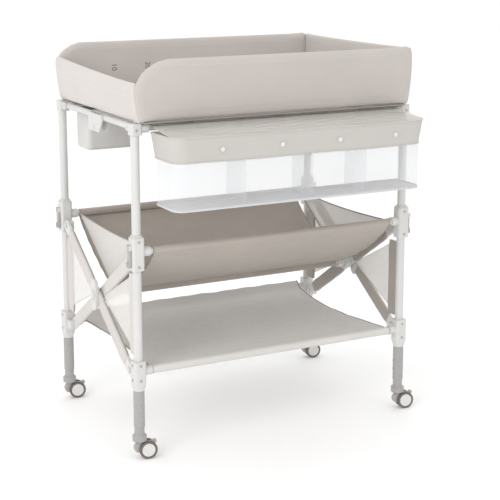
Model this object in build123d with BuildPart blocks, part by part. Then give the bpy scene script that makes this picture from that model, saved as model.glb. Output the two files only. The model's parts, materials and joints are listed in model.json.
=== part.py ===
"""Folding changing table on castors: a padded tray on four legs, two scissors, a basket, a shelf and an organiser.

Millimetres, +Z up, X along the table, Y from front to back. The origin is on the floor under the middle of the
whole table. Each sub-part is written to parts/ under its own name.
"""

import os
from math import acos, atan2, cos, degrees, hypot, radians, sin

from build123d import *

os.makedirs("parts", exist_ok=True)

# ---- driving dimensions -------------------------------------------------------------------------------------
POST_X = 385.0  # half the distance between the left and right legs
POST_DEPTH = 500.0  # from the front legs to the back legs
WALL_OUT = 30.0  # how far the tray's walls stand outside the legs
ORGANISER_DEPTH = 132.0
ORGANISER_GAP = 16.0  # from the front legs' axis to the organiser's back
ORGANISER_X = 350.0
LEG_R, LEG_WALL = 11.0, 1.5
RAIL_R, RAIL_WALL = 8.0, 1.2
FIT = 0.05  # radial room of a tube in its own socket
RUN = 0.08  # radial room of a running fit

ORGANISER_OUT = ORGANISER_GAP + ORGANISER_DEPTH
FRONT_Y = -(POST_DEPTH + WALL_OUT - ORGANISER_OUT) / 2  # puts the whole table's middle at Y = 0
BACK_Y = FRONT_Y + POST_DEPTH
MID_Y = (FRONT_Y + BACK_Y) / 2

# heights
WHEEL_R = 23.0
COLLAR_Z, FOOT_Z, SHANK_Z, FOOT_TOP_Z = 46.0, 66.0, 84.0, 177.6
JOINT_Z = (178.0, 196.0, 254.0)  # lower joint: its narrow end, its shoulder and its top
LOW_RAIL_Z, LOW_PIVOT_Z = 227.0, 222.0
SLIDER_Z = (484.0, 566.0)
MID_RAIL_Z, HIGH_PIVOT_Z = 529.0, 504.0
TOP_RAIL_Z = 832.0
FITTING_Z = (816.0, 844.0)
TRAY_Z, TRAY_TOP_Z, LOW_END_TOP_Z = 846.0, 1000.0, 948.0
FLOOR_THICK = 12.0
WALL_THICK = 20.0
TRAY_X = 386.0
END_THICK = 14.0

# scissor
PIVOT_IN = 33.0  # from a leg's axis to the pivots beside it
ARM_WIDE, ARM_THICK, LAYER_GAP = 30.0, 9.0, 3.0
PIN_R, HUB_PIN_R = 4.0, 6.0
FOLDED = 100.0  # pivot to pivot when the table is folded
HOUSING = 32.0
FITTING_OUT = 12.8  # a top fitting is slimmer on its two outer faces

SIDES = {"left": -1, "right": 1}
ENDS = {"front": (FRONT_Y, 1), "back": (BACK_Y, -1)}  # the legs' Y and the way inwards

SPREAD = POST_DEPTH - 2 * PIVOT_IN
RISE = HIGH_PIVOT_Z - LOW_PIVOT_Z
ARM_LONG = hypot(SPREAD, RISE)
HUB_Z = (HIGH_PIVOT_Z + LOW_PIVOT_Z) / 2
FOLD_TURN = degrees(acos(FOLDED / ARM_LONG) - atan2(RISE, SPREAD))
RAIL_RATIO = 1.77  # an end rail's turn for each turn of a scissor arm
print(f"hub z {HUB_Z}, fold {FOLD_TURN:.4f} deg, end rail {FOLD_TURN * RAIL_RATIO:.4f} deg")

# castors
CASTOR_TURN = -9.0
TRAIL = 20.0
BRAKE_AT = (16.0, 40.5)  # the brake pivot, along the trail and up
HOOD_HALF, WHEEL_WIDE, WHEEL_GAP = 5.0, 9.0, 0.4

# the latches reach furthest left and the trailing wheels furthest right: the table's box is centred on X = 0
LATCH_GAP, LATCH_THICK, LATCH_PAD = 1.0, 5.4, 3.0
REACH_LEFT = POST_X + HOUSING / 2 + LATCH_GAP + LATCH_THICK + LATCH_PAD
WHEELS_HALF = HOOD_HALF + WHEEL_GAP + WHEEL_WIDE
REACH_RIGHT = POST_X + (TRAIL + WHEEL_R) * cos(radians(CASTOR_TURN)) - WHEELS_HALF * sin(radians(CASTOR_TURN))
CENTRED = Location(((REACH_LEFT - REACH_RIGHT) / 2, 0, 0))
print(f"frame moved along X by {(REACH_LEFT - REACH_RIGHT) / 2:.3f}")


def save(built, name):
    """Centres a finished sub-part on the table's box, labels it and writes it under its name."""
    built.part.move(CENTRED)
    built.part.label = name
    export_step(built.part, f"parts/{name}.step")


def out_plane(side, x, y=0.0, z=0.0):
    """A plane across X at x outboard of the left or right legs' axis: its own x runs along Y, its y up."""
    return Plane(origin=(side * (POST_X + x), y, z), x_dir=(0, side, 0), z_dir=(side, 0, 0))


def x_cylinder(side, low, high, y, z, r, mode=Mode.ADD):
    """A cylinder along X between two distances outboard of the legs' axis."""
    with BuildSketch(out_plane(side, low, y, z)) as disc:
        Circle(r)
    extrude(disc.sketch, amount=high - low, mode=mode)


def x_plate(side, low, high, points, round_r=0.0, mode=Mode.ADD):
    """A plate across X with an outline of (y, z) points, its corners rounded."""
    with BuildSketch(out_plane(side, low)) as outline:
        with BuildLine():
            Polyline(*[(side * y, z) for y, z in points], close=True)
        make_face()
        if round_r:
            fillet(outline.vertices(), round_r)
    extrude(outline.sketch, amount=high - low, mode=mode)


def block(x, y, z, edge=0.0):
    """A box between pairs of X, Y and Z values, its upright edges rounded."""
    with BuildSketch(Plane.XY.offset(z[0])) as face:
        with Locations(((x[0] + x[1]) / 2, (y[0] + y[1]) / 2)):
            Rectangle(abs(x[1] - x[0]), abs(y[1] - y[0]))
        if edge:
            fillet(face.vertices(), edge)
    extrude(face.sketch, amount=z[1] - z[0])


def x_tube(name, x, y, z, r=RAIL_R, wall=RAIL_WALL):
    """A round tube along X, from -x to x."""
    with BuildPart() as tube:
        with BuildSketch(Plane.YZ.offset(-x)):
            with Locations((y, z)):
                Circle(r)
                Circle(r - wall, mode=Mode.SUBTRACT)
        extrude(amount=2 * x)
    save(tube, name)


def housing(side, y, low, high, bore, inward=1, out=HOUSING / 2, edge=7.0):
    """The upright body of a joint round a leg, with its bore; out is its reach away from the table."""
    x = side * POST_X
    across = sorted((x + side * out, x - side * HOUSING / 2))
    along = sorted((y - inward * out, y + inward * HOUSING / 2))
    block(across, along, (low, high), edge=edge)
    with Locations((x, y, low)):
        Cylinder(bore, 2 * (high - low), mode=Mode.SUBTRACT)


def rail_socket(side, y, z, r=12.0):
    """A round socket on the inboard face of a joint, for the end of a rail along X."""
    x_cylinder(side, -HOUSING / 2 - 18, -HOUSING / 2 + 1, y, z, r)
    x_cylinder(side, -HOUSING / 2 - 19, -HOUSING / 2 - 0.5, y, z, RAIL_R + FIT, mode=Mode.SUBTRACT)


def arm_tongue(side, y, inward, z, outer):
    """The tongue and pin that carry a scissor arm: an outer arm has the tongue on its inboard side."""
    way = 1 if outer else -1
    reach = PIVOT_IN + 12
    a, b = y + inward * (HOUSING / 2 - 1), y + inward * reach
    low, high = sorted((-way * 9.0, way * (LAYER_GAP / 2 - 0.4)))
    x_plate(side, low, high, [(a, z - 12), (b, z - 12), (b, z + 12), (a, z + 12)], round_r=4.5)
    pin_low, pin_high = sorted((0.0, way * (LAYER_GAP / 2 + ARM_THICK + 0.5)))
    pin_y = y + inward * PIVOT_IN
    x_cylinder(side, pin_low, pin_high, pin_y, z, PIN_R)
    head_low, head_high = sorted((way * (LAYER_GAP / 2 + ARM_THICK + 0.4), way * (LAYER_GAP / 2 + ARM_THICK + 3.0)))
    x_cylinder(side, head_low, head_high, pin_y, z, 7.0)


# ---- legs, lower joints, top fittings and fixed rails --------------------------------------------------------
for end, (leg_y, inward) in ENDS.items():
    outer_arm = end == "front"  # the arm that starts at the front lower joint is the outer one

    with BuildPart() as legs:
        with BuildSketch(Plane.XY.offset(FOOT_Z + 6)):
            with Locations((-POST_X, leg_y), (POST_X, leg_y)):
                Circle(LEG_R)
                Circle(LEG_R - LEG_WALL, mode=Mode.SUBTRACT)
        extrude(amount=FITTING_Z[1] - 4 - FOOT_Z - 6)
    save(legs, f"legs_{end}")

    with BuildPart() as joints:
        for side in SIDES.values():
            housing(side, leg_y, JOINT_Z[1], JOINT_Z[2], LEG_R + FIT)
            with BuildSketch(Plane.XY.offset(JOINT_Z[0])):
                with Locations((side * POST_X, leg_y)):
                    Circle(14.0)
            with BuildSketch(Plane.XY.offset(JOINT_Z[1])):
                with Locations((side * POST_X, leg_y)):
                    RectangleRounded(HOUSING, HOUSING, 7.0)
            loft()
            rail_socket(side, leg_y, LOW_RAIL_Z)
            arm_tongue(side, leg_y, inward, LOW_PIVOT_Z, outer=outer_arm)
            with Locations((side * POST_X, leg_y, LOW_RAIL_Z)):
                Cylinder(LEG_R + FIT, 200, mode=Mode.SUBTRACT)
    save(joints, f"lower_joints_{end}")

    with BuildPart() as fittings:
        ear = TOP_RAIL_Z - 9, TOP_RAIL_Z + 9
        near, far = leg_y + inward * (HOUSING / 2 - 1), leg_y + inward * (PIVOT_IN + 9)
        for side in SIDES.values():
            housing(side, leg_y, *FITTING_Z, LEG_R + FIT, inward, FITTING_OUT, edge=6.0)
            with Locations((side * POST_X, leg_y, FITTING_Z[1] - 2)):
                Cylinder(LEG_R + 2, 4)
            rail_socket(side, leg_y, TOP_RAIL_Z, r=11.5)
            for low, high in ((-16.4, -13.3), (3.3, 6.4)):
                corners = [(near, ear[0]), (far, ear[0]), (far, ear[1]), (near, ear[1])]
                x_plate(side, low, high, corners, round_r=4.0)
            x_cylinder(side, -18.0, 8.0, leg_y + inward * PIVOT_IN, TOP_RAIL_Z, 3.0)
            with Locations((side * POST_X, leg_y, FITTING_Z[0])):
                Cylinder(LEG_R + FIT, 2 * (FITTING_Z[1] - 4 - FITTING_Z[0]), mode=Mode.SUBTRACT)
    save(fittings, f"top_fittings_{end}")

    rail_x = POST_X - HOUSING / 2 - 1
    x_tube(f"lower_rail_{end}", rail_x, leg_y, LOW_RAIL_Z)
    x_tube(f"mid_rail_{end}", rail_x, leg_y, MID_RAIL_Z)
    x_tube(f"top_rail_{end}", rail_x, leg_y, TOP_RAIL_Z)

# ---- sliders and their latches -------------------------------------------------------------------------------
LATCH_Z = (492.0, 547.0)
LATCH_PIVOT_Z = 543.0
LATCH_OUT = HOUSING / 2 + 3.4  # from the leg's axis to the latch pivot
for end, (leg_y, inward) in ENDS.items():
    for side_name, side in SIDES.items():
        with BuildPart() as slider:
            housing(side, leg_y, *SLIDER_Z, LEG_R + RUN)
            with BuildSketch(Plane.XY.offset(SLIDER_Z[1])):
                with Locations((side * POST_X, leg_y)):
                    RectangleRounded(HOUSING - 6, HOUSING - 6, 7.0)
                    Circle(LEG_R + RUN, mode=Mode.SUBTRACT)
            extrude(amount=5)
            rail_socket(side, leg_y, MID_RAIL_Z)
            arm_tongue(side, leg_y, inward, HIGH_PIVOT_Z, outer=end == "back")
            for y in (leg_y - 9.0, leg_y + 9.0):
                with BuildSketch(out_plane(side, HOUSING / 2 - 1, y, LATCH_PIVOT_Z)):
                    Rectangle(3.0, 12.0)
                extrude(amount=8)
            with BuildSketch(Plane(origin=(side * (POST_X + LATCH_OUT), leg_y, LATCH_PIVOT_Z), z_dir=(0, 1, 0))):
                Circle(1.5)
            extrude(amount=9.5, both=True)
            with Locations((side * POST_X, leg_y, MID_RAIL_Z)):
                Cylinder(LEG_R + RUN, 200, mode=Mode.SUBTRACT)
        save(slider, f"slider_{end}_{side_name}")

        with BuildPart() as latch:
            low = HOUSING / 2 + LATCH_GAP
            high = low + LATCH_THICK
            with BuildSketch(out_plane(side, low, leg_y)) as plate:
                with Locations((0, (LATCH_Z[0] + LATCH_Z[1]) / 2)):
                    RectangleRounded(14.4, LATCH_Z[1] - LATCH_Z[0], 4.0)
            extrude(amount=high - low)
            with BuildSketch(out_plane(side, high, leg_y, LATCH_Z[0] + 8)):
                RectangleRounded(14.4, 14.0, 4.0)
            extrude(amount=LATCH_PAD)
            with BuildSketch(Plane(origin=(side * (POST_X + LATCH_OUT), leg_y, LATCH_PIVOT_Z), z_dir=(0, 1, 0))):
                Circle(1.5 + RUN)
            extrude(amount=10, both=True, mode=Mode.SUBTRACT)
        save(latch, f"latch_{end}_{side_name}")

# ---- scissor arms and the tube that joins the two hubs ---------------------------------------------------------
for side_name, side in SIDES.items():
    for arm_name, outer in (("a", True), ("b", False)):
        lean = 1 if outer else -1
        foot = FRONT_Y + PIVOT_IN if outer else BACK_Y - PIVOT_IN
        head = BACK_Y - PIVOT_IN if outer else FRONT_Y + PIVOT_IN
        low = LAYER_GAP / 2 if outer else -LAYER_GAP / 2 - ARM_THICK
        middle = ((foot + head) / 2, HUB_Z)
        tilt = degrees(atan2(RISE, lean * SPREAD))
        with BuildPart() as arm:
            with BuildSketch(out_plane(side, low)):
                with Locations(Location((side * middle[0], middle[1]), side * tilt)):
                    SlotCenterToCenter(ARM_LONG, ARM_WIDE)
                for y, z, hole in ((foot, LOW_PIVOT_Z, PIN_R), (*middle, HUB_PIN_R), (head, HIGH_PIVOT_Z, PIN_R)):
                    with Locations((side * y, z)):
                        Circle(hole + RUN, mode=Mode.SUBTRACT)
            extrude(amount=ARM_THICK)
            flats = arm.faces().filter_by(Axis.X)
            chamfer([e for f in flats for e in f.outer_wire().edges()], 1.6)
        save(arm, f"arm_{arm_name}_{side_name}")

HUB_OUT = LAYER_GAP / 2 + ARM_THICK
BOSS_LONG, BOSS_STEP = 38.0, 18.0
CROSS_R = 9.0
with BuildPart() as cross_tube:
    inner = POST_X - HUB_OUT - 0.4
    with BuildSketch(Plane.YZ.offset(-inner)):
        with Locations((MID_Y, HUB_Z)):
            Circle(CROSS_R)
    extrude(amount=2 * inner)
    for side in SIDES.values():
        x_cylinder(side, -HUB_OUT - 1, HUB_OUT + 1, MID_Y, HUB_Z, HUB_PIN_R)
        x_cylinder(side, -HUB_OUT - BOSS_STEP, -HUB_OUT - 0.4, MID_Y, HUB_Z, 20.0)
        x_cylinder(side, -HUB_OUT - BOSS_LONG, -HUB_OUT - BOSS_STEP, MID_Y, HUB_Z, 14.0)
        with BuildSketch(out_plane(side, HUB_OUT + 0.4)):
            with Locations((side * MID_Y, HUB_Z)):
                SlotOverall(84.0, 36.0, rotation=90)
        extrude(amount=8.0)
save(cross_tube, "cross_tube")

# ---- end rails: each is two halves that meet in a housing under the tray --------------------------------------
TUBE_SHIFT = -5.0  # the end rails run a little inboard of the legs' axis
OPEN_GAP = 36.0  # from each half rail's end to the middle: the open pivot's room
PLATE_ROOT, PLATE_REACH = 56.0, 38.0
for end, (leg_y, inward) in ENDS.items():
    pivot_y = leg_y + inward * PIVOT_IN
    tip_y = MID_Y - inward * OPEN_GAP
    plate = (3.3, 7.3) if end == "front" else (-17.3, -13.3)
    with BuildPart() as rails:
        for side in SIDES.values():
            start = (side * (POST_X + TUBE_SHIFT), pivot_y, TOP_RAIL_Z)
            with BuildSketch(Plane(origin=start, z_dir=(0, inward, 0))):
                Circle(RAIL_R)
            extrude(amount=abs(tip_y - pivot_y))
            x_cylinder(side, TUBE_SHIFT - RAIL_R, TUBE_SHIFT + RAIL_R, pivot_y, TOP_RAIL_Z, RAIL_R + 0.6)
            back, tip = MID_Y - inward * PLATE_ROOT, MID_Y + inward * PLATE_REACH
            root = MID_Y - inward * (OPEN_GAP + 1)
            corners = [(back, 825.0), (root, 794.0), (tip, 794.0), (tip, 839.0), (back, 839.0)]
            x_plate(side, *plate, corners, round_r=5.0)
            grip = sorted((TUBE_SHIFT, plate[0] if end == "front" else plate[1]))
            neck = [(back + inward * 2, 826.0), (root, 826.0), (root, 838.0), (back + inward * 2, 838.0)]
            x_plate(side, *grip, neck)
            rivet = sorted((plate[1], plate[1] + 2.0)) if end == "front" else sorted((plate[0] - 2.0, plate[0]))
            x_cylinder(side, *rivet, MID_Y, 804.0, 6.0)
            x_cylinder(side, -20.0, 10.0, pivot_y, TOP_RAIL_Z, 3.0 + RUN, mode=Mode.SUBTRACT)
    save(rails, f"end_rails_{end}")

# ---- tray ----------------------------------------------------------------------------------------------------
CORNER_R = {"front": 90.0, "back": 72.0}  # where a long wall comes down to the low end
for end, (leg_y, inward) in ENDS.items():
    outside = leg_y - inward * WALL_OUT
    inside = outside + inward * WALL_THICK
    with BuildPart() as wall:
        with BuildSketch(Plane.XZ.offset(-max(outside, inside))) as face:
            with Locations((0, (TRAY_Z + TRAY_TOP_Z) / 2)):
                Rectangle(2 * TRAY_X, TRAY_TOP_Z - TRAY_Z)
            corners = face.vertices().group_by(Axis.Z)[-1].sort_by(Axis.X)
            fillet(corners[0], CORNER_R[end])
            fillet(face.vertices().group_by(Axis.Z)[-1].sort_by(Axis.X)[-1], 20.0)
        extrude(amount=WALL_THICK)
    save(wall, f"tray_wall_{end}")

wall_gap = WALL_OUT - WALL_THICK - 0.4
for side_name, side in SIDES.items():
    top = LOW_END_TOP_Z if side < 0 else TRAY_TOP_Z - 4
    with BuildPart() as tray_end:
        span = (FRONT_Y - wall_gap, BACK_Y + wall_gap)
        block((side * (TRAY_X - END_THICK), side * TRAY_X), span, (TRAY_Z, top))
    save(tray_end, f"tray_end_{side_name}")

floor_x = TRAY_X - END_THICK - 0.4
for end, (leg_y, inward) in ENDS.items():
    with BuildPart() as tray_floor:
        span = sorted((leg_y - inward * wall_gap, MID_Y - inward * 0.3))
        block((-floor_x, floor_x), span, (TRAY_Z, TRAY_Z + FLOOR_THICK))
    save(tray_floor, f"tray_floor_{end}")

# ---- V-shaped basket, side gussets and shelf --------------------------------------------------------------------
BASKET_X = 350.0
CLOTH = 3.0
for end, (leg_y, inward) in ENDS.items():
    top = (leg_y + inward * 10.0, MID_RAIL_Z)
    hem = (MID_Y - inward * 11.5, HUB_Z + 8.0)
    slope = atan2(top[1] - hem[1], abs(top[0] - hem[0]))
    thick_y, thick_z = inward * CLOTH * sin(slope), CLOTH * cos(slope)
    corners = [top, hem, (hem[0] + thick_y, hem[1] + thick_z), (top[0] + thick_y, top[1] + thick_z)]
    with BuildPart() as panel:
        with BuildSketch(Plane.YZ.offset(-BASKET_X)):
            with BuildLine():
                Polyline(*corners, close=True)
            make_face()
        extrude(amount=2 * BASKET_X)
    save(panel, f"basket_{end}")

with BuildPart() as basket_ends:
    for side in SIDES.values():
        low = BASKET_X - POST_X - 4
        outline = [(FRONT_Y + 26, MID_RAIL_Z + 1), (MID_Y, HUB_Z + 20), (BACK_Y - 26, MID_RAIL_Z + 1)]
        x_plate(side, low, low + 2, outline)
save(basket_ends, "basket_ends")

for end, (leg_y, inward) in ENDS.items():
    with BuildPart() as gussets:
        for side in SIDES.values():
            leg_side = leg_y + inward * (LEG_R + 1)
            outline = [(leg_side, JOINT_Z[2] + 8), (MID_Y - inward * 30, HUB_Z), (leg_side, SLIDER_Z[0] - 8)]
            x_plate(side, -0.8, 0.8, outline)
    save(gussets, f"gussets_{end}")

with BuildPart() as shelf:
    block((-BASKET_X, BASKET_X), (FRONT_Y + 9, BACK_Y - 9), (LOW_RAIL_Z - 3, LOW_RAIL_Z + 1))
save(shelf, "shelf")

# ---- organiser that hangs from the front top rail -----------------------------------------------------------------
RIM_Z, RIM_TALL = 822.0, 60.0
POCKET_Z, BASE_THICK = 645.0, 5.0
TAPER = 7.0
org_back, org_front = FRONT_Y - ORGANISER_GAP, FRONT_Y - ORGANISER_OUT


def organiser_outline(inset, corner):
    """The organiser's plan, set in from its outermost edge: wide front corners and small back ones."""
    depth = ORGANISER_DEPTH - 2 * inset
    with Locations((0, (org_back + org_front) / 2)):
        Rectangle(2 * (ORGANISER_X - inset), depth)
    corners = BuildSketch._get_context().vertices().sort_by(Axis.Y)
    fillet(corners[:2], corner)


def organiser_walls(z, tall, inset, wall, taper, corner):
    """A hollow band down from z, as thick as wall, leaning in by taper degrees."""
    with BuildSketch(Plane.XY.offset(z)) as outside:
        organiser_outline(inset, corner)
    extrude(outside.sketch, amount=-tall, taper=taper)
    with BuildSketch(Plane.XY.offset(z)) as inside:
        organiser_outline(inset + wall, corner - wall)
    extrude(inside.sketch, amount=-tall, taper=taper, mode=Mode.SUBTRACT)


HOOKS_X = (-250.0, 0.0, 250.0)
with BuildPart() as organiser_rim:
    organiser_walls(RIM_Z, RIM_TALL, 0.0, 4.0, TAPER, 36.0)
    for hook_x in HOOKS_X:
        with BuildSketch(Plane.YZ.offset(hook_x - 14)):
            with Locations((FRONT_Y, TOP_RAIL_Z)):
                Circle(RAIL_R + 3)
            with Locations((FRONT_Y - 15, TOP_RAIL_Z - 16)):
                Rectangle(9, 38)
            with Locations((FRONT_Y, TOP_RAIL_Z)):
                Circle(RAIL_R + FIT, mode=Mode.SUBTRACT)
        extrude(amount=28)
save(organiser_rim, "organiser_rim")

lean_in = RIM_TALL * sin(radians(TAPER))
with BuildPart() as organiser_pocket:
    pocket_tall = RIM_Z - RIM_TALL - POCKET_Z - BASE_THICK - 0.6
    organiser_walls(RIM_Z - RIM_TALL - 0.3, pocket_tall, lean_in + 3, 2.0, 0.0, 24.0)
save(organiser_pocket, "organiser_pocket")

with BuildPart() as organiser_base:
    with BuildSketch(Plane.XY.offset(POCKET_Z)):
        organiser_outline(lean_in + 1, 26.0)
    extrude(amount=BASE_THICK)
save(organiser_base, "organiser_base")

COVER_SLOT = 36.0  # open strip along the back, where things go in
with BuildPart() as organiser_cover:
    with BuildSketch(Plane.XY.offset(RIM_Z + 0.3)) as top:
        organiser_outline(1.0, 35.0)
        with Locations((0, org_back - COVER_SLOT / 2)):
            Rectangle(4 * ORGANISER_X, COVER_SLOT, mode=Mode.SUBTRACT)
    extrude(amount=2.0)
save(organiser_cover, "organiser_cover")

# ---- plastic box that hooks on the back top rail --------------------------------------------------------------
BOX_X, BOX_Y, BOX_Z = (-352.0, -212.0), (BACK_Y - 98.0, BACK_Y - 11.0), (716.0, 826.0)
BOX_WALL = 2.6
with BuildPart() as side_box:
    block(BOX_X, BOX_Y, BOX_Z, edge=16.0)
    fillet(side_box.faces().sort_by(Axis.Z)[0].edges(), 12.0)
    offset(amount=-BOX_WALL, openings=side_box.faces().sort_by(Axis.Z)[-1])
    for hook_x in (BOX_X[0] + 30, BOX_X[1] - 48):
        with BuildSketch(Plane.YZ.offset(hook_x)):
            with Locations((BACK_Y, TOP_RAIL_Z)):
                Circle(RAIL_R + 2.6)
            with Locations((BACK_Y - 10, TOP_RAIL_Z - 12)):
                Rectangle(5.6, 26)
            with Locations((BACK_Y, TOP_RAIL_Z)):
                Circle(RAIL_R + FIT, mode=Mode.SUBTRACT)
            with Locations((BACK_Y + 5, TOP_RAIL_Z - 9)):
                Rectangle(14, 14, mode=Mode.SUBTRACT)
        extrude(amount=18)
save(side_box, "side_box")

# ---- feet, castors, wheels and brakes -----------------------------------------------------------------------------
STEM_R = 5.0
HOOD_TOP_Z, FLANGE_Z, STEM_TOP_Z = 38.0, 44.6, 61.5
AXLE_R = 3.0
for end, (leg_y, inward) in ENDS.items():
    for side_name, side in SIDES.items():
        x = side * POST_X
        tag = f"{end}_{side_name}"
        with BuildPart() as foot:
            with BuildSketch(Plane(origin=(x, leg_y, 0), x_dir=(1, 0, 0), z_dir=(0, -1, 0))):
                with BuildLine():
                    Polyline(
                        (0, COLLAR_Z + 16),
                        (STEM_R + RUN, COLLAR_Z + 16),
                        (STEM_R + RUN, COLLAR_Z),
                        (16, COLLAR_Z),
                        (18, COLLAR_Z + 2),
                        (18, FOOT_Z - 5),
                        (12.6, FOOT_Z),
                        (12.6, SHANK_Z - 2),
                        (14, SHANK_Z),
                        (14, FOOT_TOP_Z),
                        (LEG_R + RUN, FOOT_TOP_Z),
                        (LEG_R + RUN, FOOT_Z + 4),
                        (0, FOOT_Z + 4),
                        close=True,
                    )
                make_face()
            revolve(axis=Axis((x, leg_y, 0), (0, 0, 1)))
            for z in (FOOT_TOP_Z - 38, FOOT_TOP_Z - 63):
                x_cylinder(side, -20, 0, leg_y, z, 3.0, mode=Mode.SUBTRACT)
        save(foot, f"foot_{tag}")

        turn = radians(CASTOR_TURN)
        roll = Plane(origin=(x, leg_y, 0), x_dir=(cos(turn), sin(turn), 0), z_dir=(sin(turn), -cos(turn), 0))
        with BuildPart() as castor:
            with BuildSketch(roll):
                with Locations((-2, 29)):
                    Circle(13)
                with Locations((TRAIL, WHEEL_R)):
                    Circle(11)
                make_hull()
                with Locations((TRAIL, WHEEL_R)):
                    Circle(AXLE_R + RUN, mode=Mode.SUBTRACT)
            extrude(amount=HOOD_HALF, both=True)
            with Locations((x, leg_y, FLANGE_Z)):
                Cylinder(10.5, 2.4)
            with Locations((x, leg_y, (HOOD_TOP_Z + STEM_TOP_Z) / 2)):
                Cylinder(STEM_R, STEM_TOP_Z - HOOD_TOP_Z)
            for v in (-HOOD_HALF, HOOD_HALF - 1.6):
                with BuildSketch(roll.offset(v)):
                    with Locations((BRAKE_AT[0], BRAKE_AT[1] - 4)):
                        Rectangle(8, 14)
                extrude(amount=1.6)
            with BuildSketch(roll):
                with Locations(BRAKE_AT):
                    Circle(1.5)
            extrude(amount=HOOD_HALF, both=True)
            with BuildSketch(roll):
                with Locations((BRAKE_AT[0] + 9.5, BRAKE_AT[1] - 1)):
                    Rectangle(11, 9)
            extrude(amount=HOOD_HALF + 1, both=True, mode=Mode.SUBTRACT)
        save(castor, f"castor_{tag}")

        with BuildPart() as wheel:
            with BuildSketch(roll):
                with Locations((TRAIL, WHEEL_R)):
                    Circle(AXLE_R)
            extrude(amount=HOOD_HALF + 2, both=True)
            for v in (HOOD_HALF + WHEEL_GAP, -WHEELS_HALF):
                with BuildSketch(roll.offset(v)):
                    with Locations((TRAIL, WHEEL_R)):
                        Circle(WHEEL_R)
                extrude(amount=WHEEL_WIDE)
            rims = wheel.edges().filter_by(GeomType.CIRCLE).filter_by(lambda e: e.radius > WHEEL_R - 1)
            fillet(rims, 2.0)
        save(wheel, f"wheel_{tag}")

        with BuildPart() as brake:
            with BuildSketch(roll):
                with Locations(BRAKE_AT):
                    Circle(3.2)
                with Locations((BRAKE_AT[0] + 11, BRAKE_AT[1] + 1.5)):
                    Rectangle(22, 3.6)
                with Locations((BRAKE_AT[0] + 22, BRAKE_AT[1] + 1)):
                    Circle(5.2)
                with Locations(BRAKE_AT):
                    Circle(1.5 + RUN, mode=Mode.SUBTRACT)
            extrude(amount=3.0, both=True)
        save(brake, f"brake_{tag}")
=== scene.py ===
"""Looks of a folding changing table on castors: padded tray, scissor ends, sling basket, shelf and organiser.

Every piece is in metres in the frame's own axes: X along the table, Y from front to back, Z up.
"""

import json
import logging
from dataclasses import dataclass
from enum import Enum
from math import cos, exp, hypot, pi, radians, sin
from typing import Callable, NamedTuple, Sequence

import bpy
from mathutils import Matrix, Vector


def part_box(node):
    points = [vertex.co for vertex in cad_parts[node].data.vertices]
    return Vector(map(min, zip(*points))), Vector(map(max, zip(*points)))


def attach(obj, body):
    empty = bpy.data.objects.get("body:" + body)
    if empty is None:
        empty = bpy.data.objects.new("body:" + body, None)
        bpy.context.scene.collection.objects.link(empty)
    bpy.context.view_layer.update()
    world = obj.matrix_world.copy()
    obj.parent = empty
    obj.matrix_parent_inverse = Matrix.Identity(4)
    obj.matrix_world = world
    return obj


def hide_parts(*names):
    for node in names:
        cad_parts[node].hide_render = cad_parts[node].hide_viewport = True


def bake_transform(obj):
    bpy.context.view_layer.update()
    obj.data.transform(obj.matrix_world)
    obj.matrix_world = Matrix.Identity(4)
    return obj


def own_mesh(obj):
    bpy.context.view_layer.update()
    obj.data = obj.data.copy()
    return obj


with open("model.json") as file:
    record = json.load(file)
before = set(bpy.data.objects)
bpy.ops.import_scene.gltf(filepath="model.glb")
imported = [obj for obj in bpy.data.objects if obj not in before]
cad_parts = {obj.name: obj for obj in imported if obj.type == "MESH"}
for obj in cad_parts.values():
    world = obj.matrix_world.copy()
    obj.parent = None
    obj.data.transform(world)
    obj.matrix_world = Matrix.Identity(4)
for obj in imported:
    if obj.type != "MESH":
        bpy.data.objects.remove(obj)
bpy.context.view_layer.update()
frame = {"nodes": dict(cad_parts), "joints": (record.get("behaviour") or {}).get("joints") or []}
log = logging.getLogger("changing_table")

MM = 0.001
FLANKS = (("left", -1), ("right", 1))
Point = tuple[float, float, float]
Test = Callable[[Vector, Vector], bool]
Object = bpy.types.Object
Material = bpy.types.Material
Socket = bpy.types.NodeSocket


# ---- modelling helpers ---------------------------------------------------------------------------------------


class Pick(Enum):
    """What an edit-mode selection is made of."""

    POINTS = "VERT"
    EDGES = "EDGE"
    FACES = "FACE"


def share_of(value: float, start: float, end: float) -> float:
    """How far a value is on the way from start to end, from 0 to 1."""
    return min(max((value - start) / (end - start), 0.0), 1.0)


def deselect_all() -> None:
    """Leaves edit mode and selects nothing."""
    if bpy.context.mode != "OBJECT":
        bpy.ops.object.mode_set(mode="OBJECT")
    bpy.ops.object.select_all(action="DESELECT")


def focus(obj: Object) -> Object:
    """Selects one object, makes it active and gives it back."""
    deselect_all()
    obj.select_set(True)
    bpy.context.view_layer.objects.active = obj
    return obj


def named(obj: Object, name: str) -> Object:
    """Names a new primitive and its mesh, and moves its place into the mesh."""
    obj.name = obj.data.name = name
    focus(obj)
    bpy.ops.object.transform_apply(location=True, rotation=True, scale=True)
    return obj


def brick(name: str, low: Sequence[float], high: Sequence[float]) -> Object:
    """Adds a box between its lowest and highest corners."""
    deselect_all()
    middle = [(a + b) / 2 for a, b in zip(low, high)]
    bpy.ops.mesh.primitive_cube_add(size=1, location=middle, scale=[b - a for a, b in zip(low, high)])
    return named(bpy.context.object, name)


def barrel(name: str, at: Sequence[float], radius: float, length: float, axis: str, sides: int = 32) -> Object:
    """Adds a closed cylinder along one axis.

    Args:
        name: The piece's name.
        at: The middle of the cylinder.
        radius: Its radius.
        length: Its length.
        axis: X, Y or Z.
        sides: How many flats it has.

    Returns:
        The new object.
    """
    deselect_all()
    turn = {"X": (0, pi / 2, 0), "Y": (pi / 2, 0, 0), "Z": (0, 0, 0)}[axis]
    bpy.ops.mesh.primitive_cylinder_add(vertices=sides, radius=radius, depth=length, location=at, rotation=turn)
    return named(bpy.context.object, name)


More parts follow.
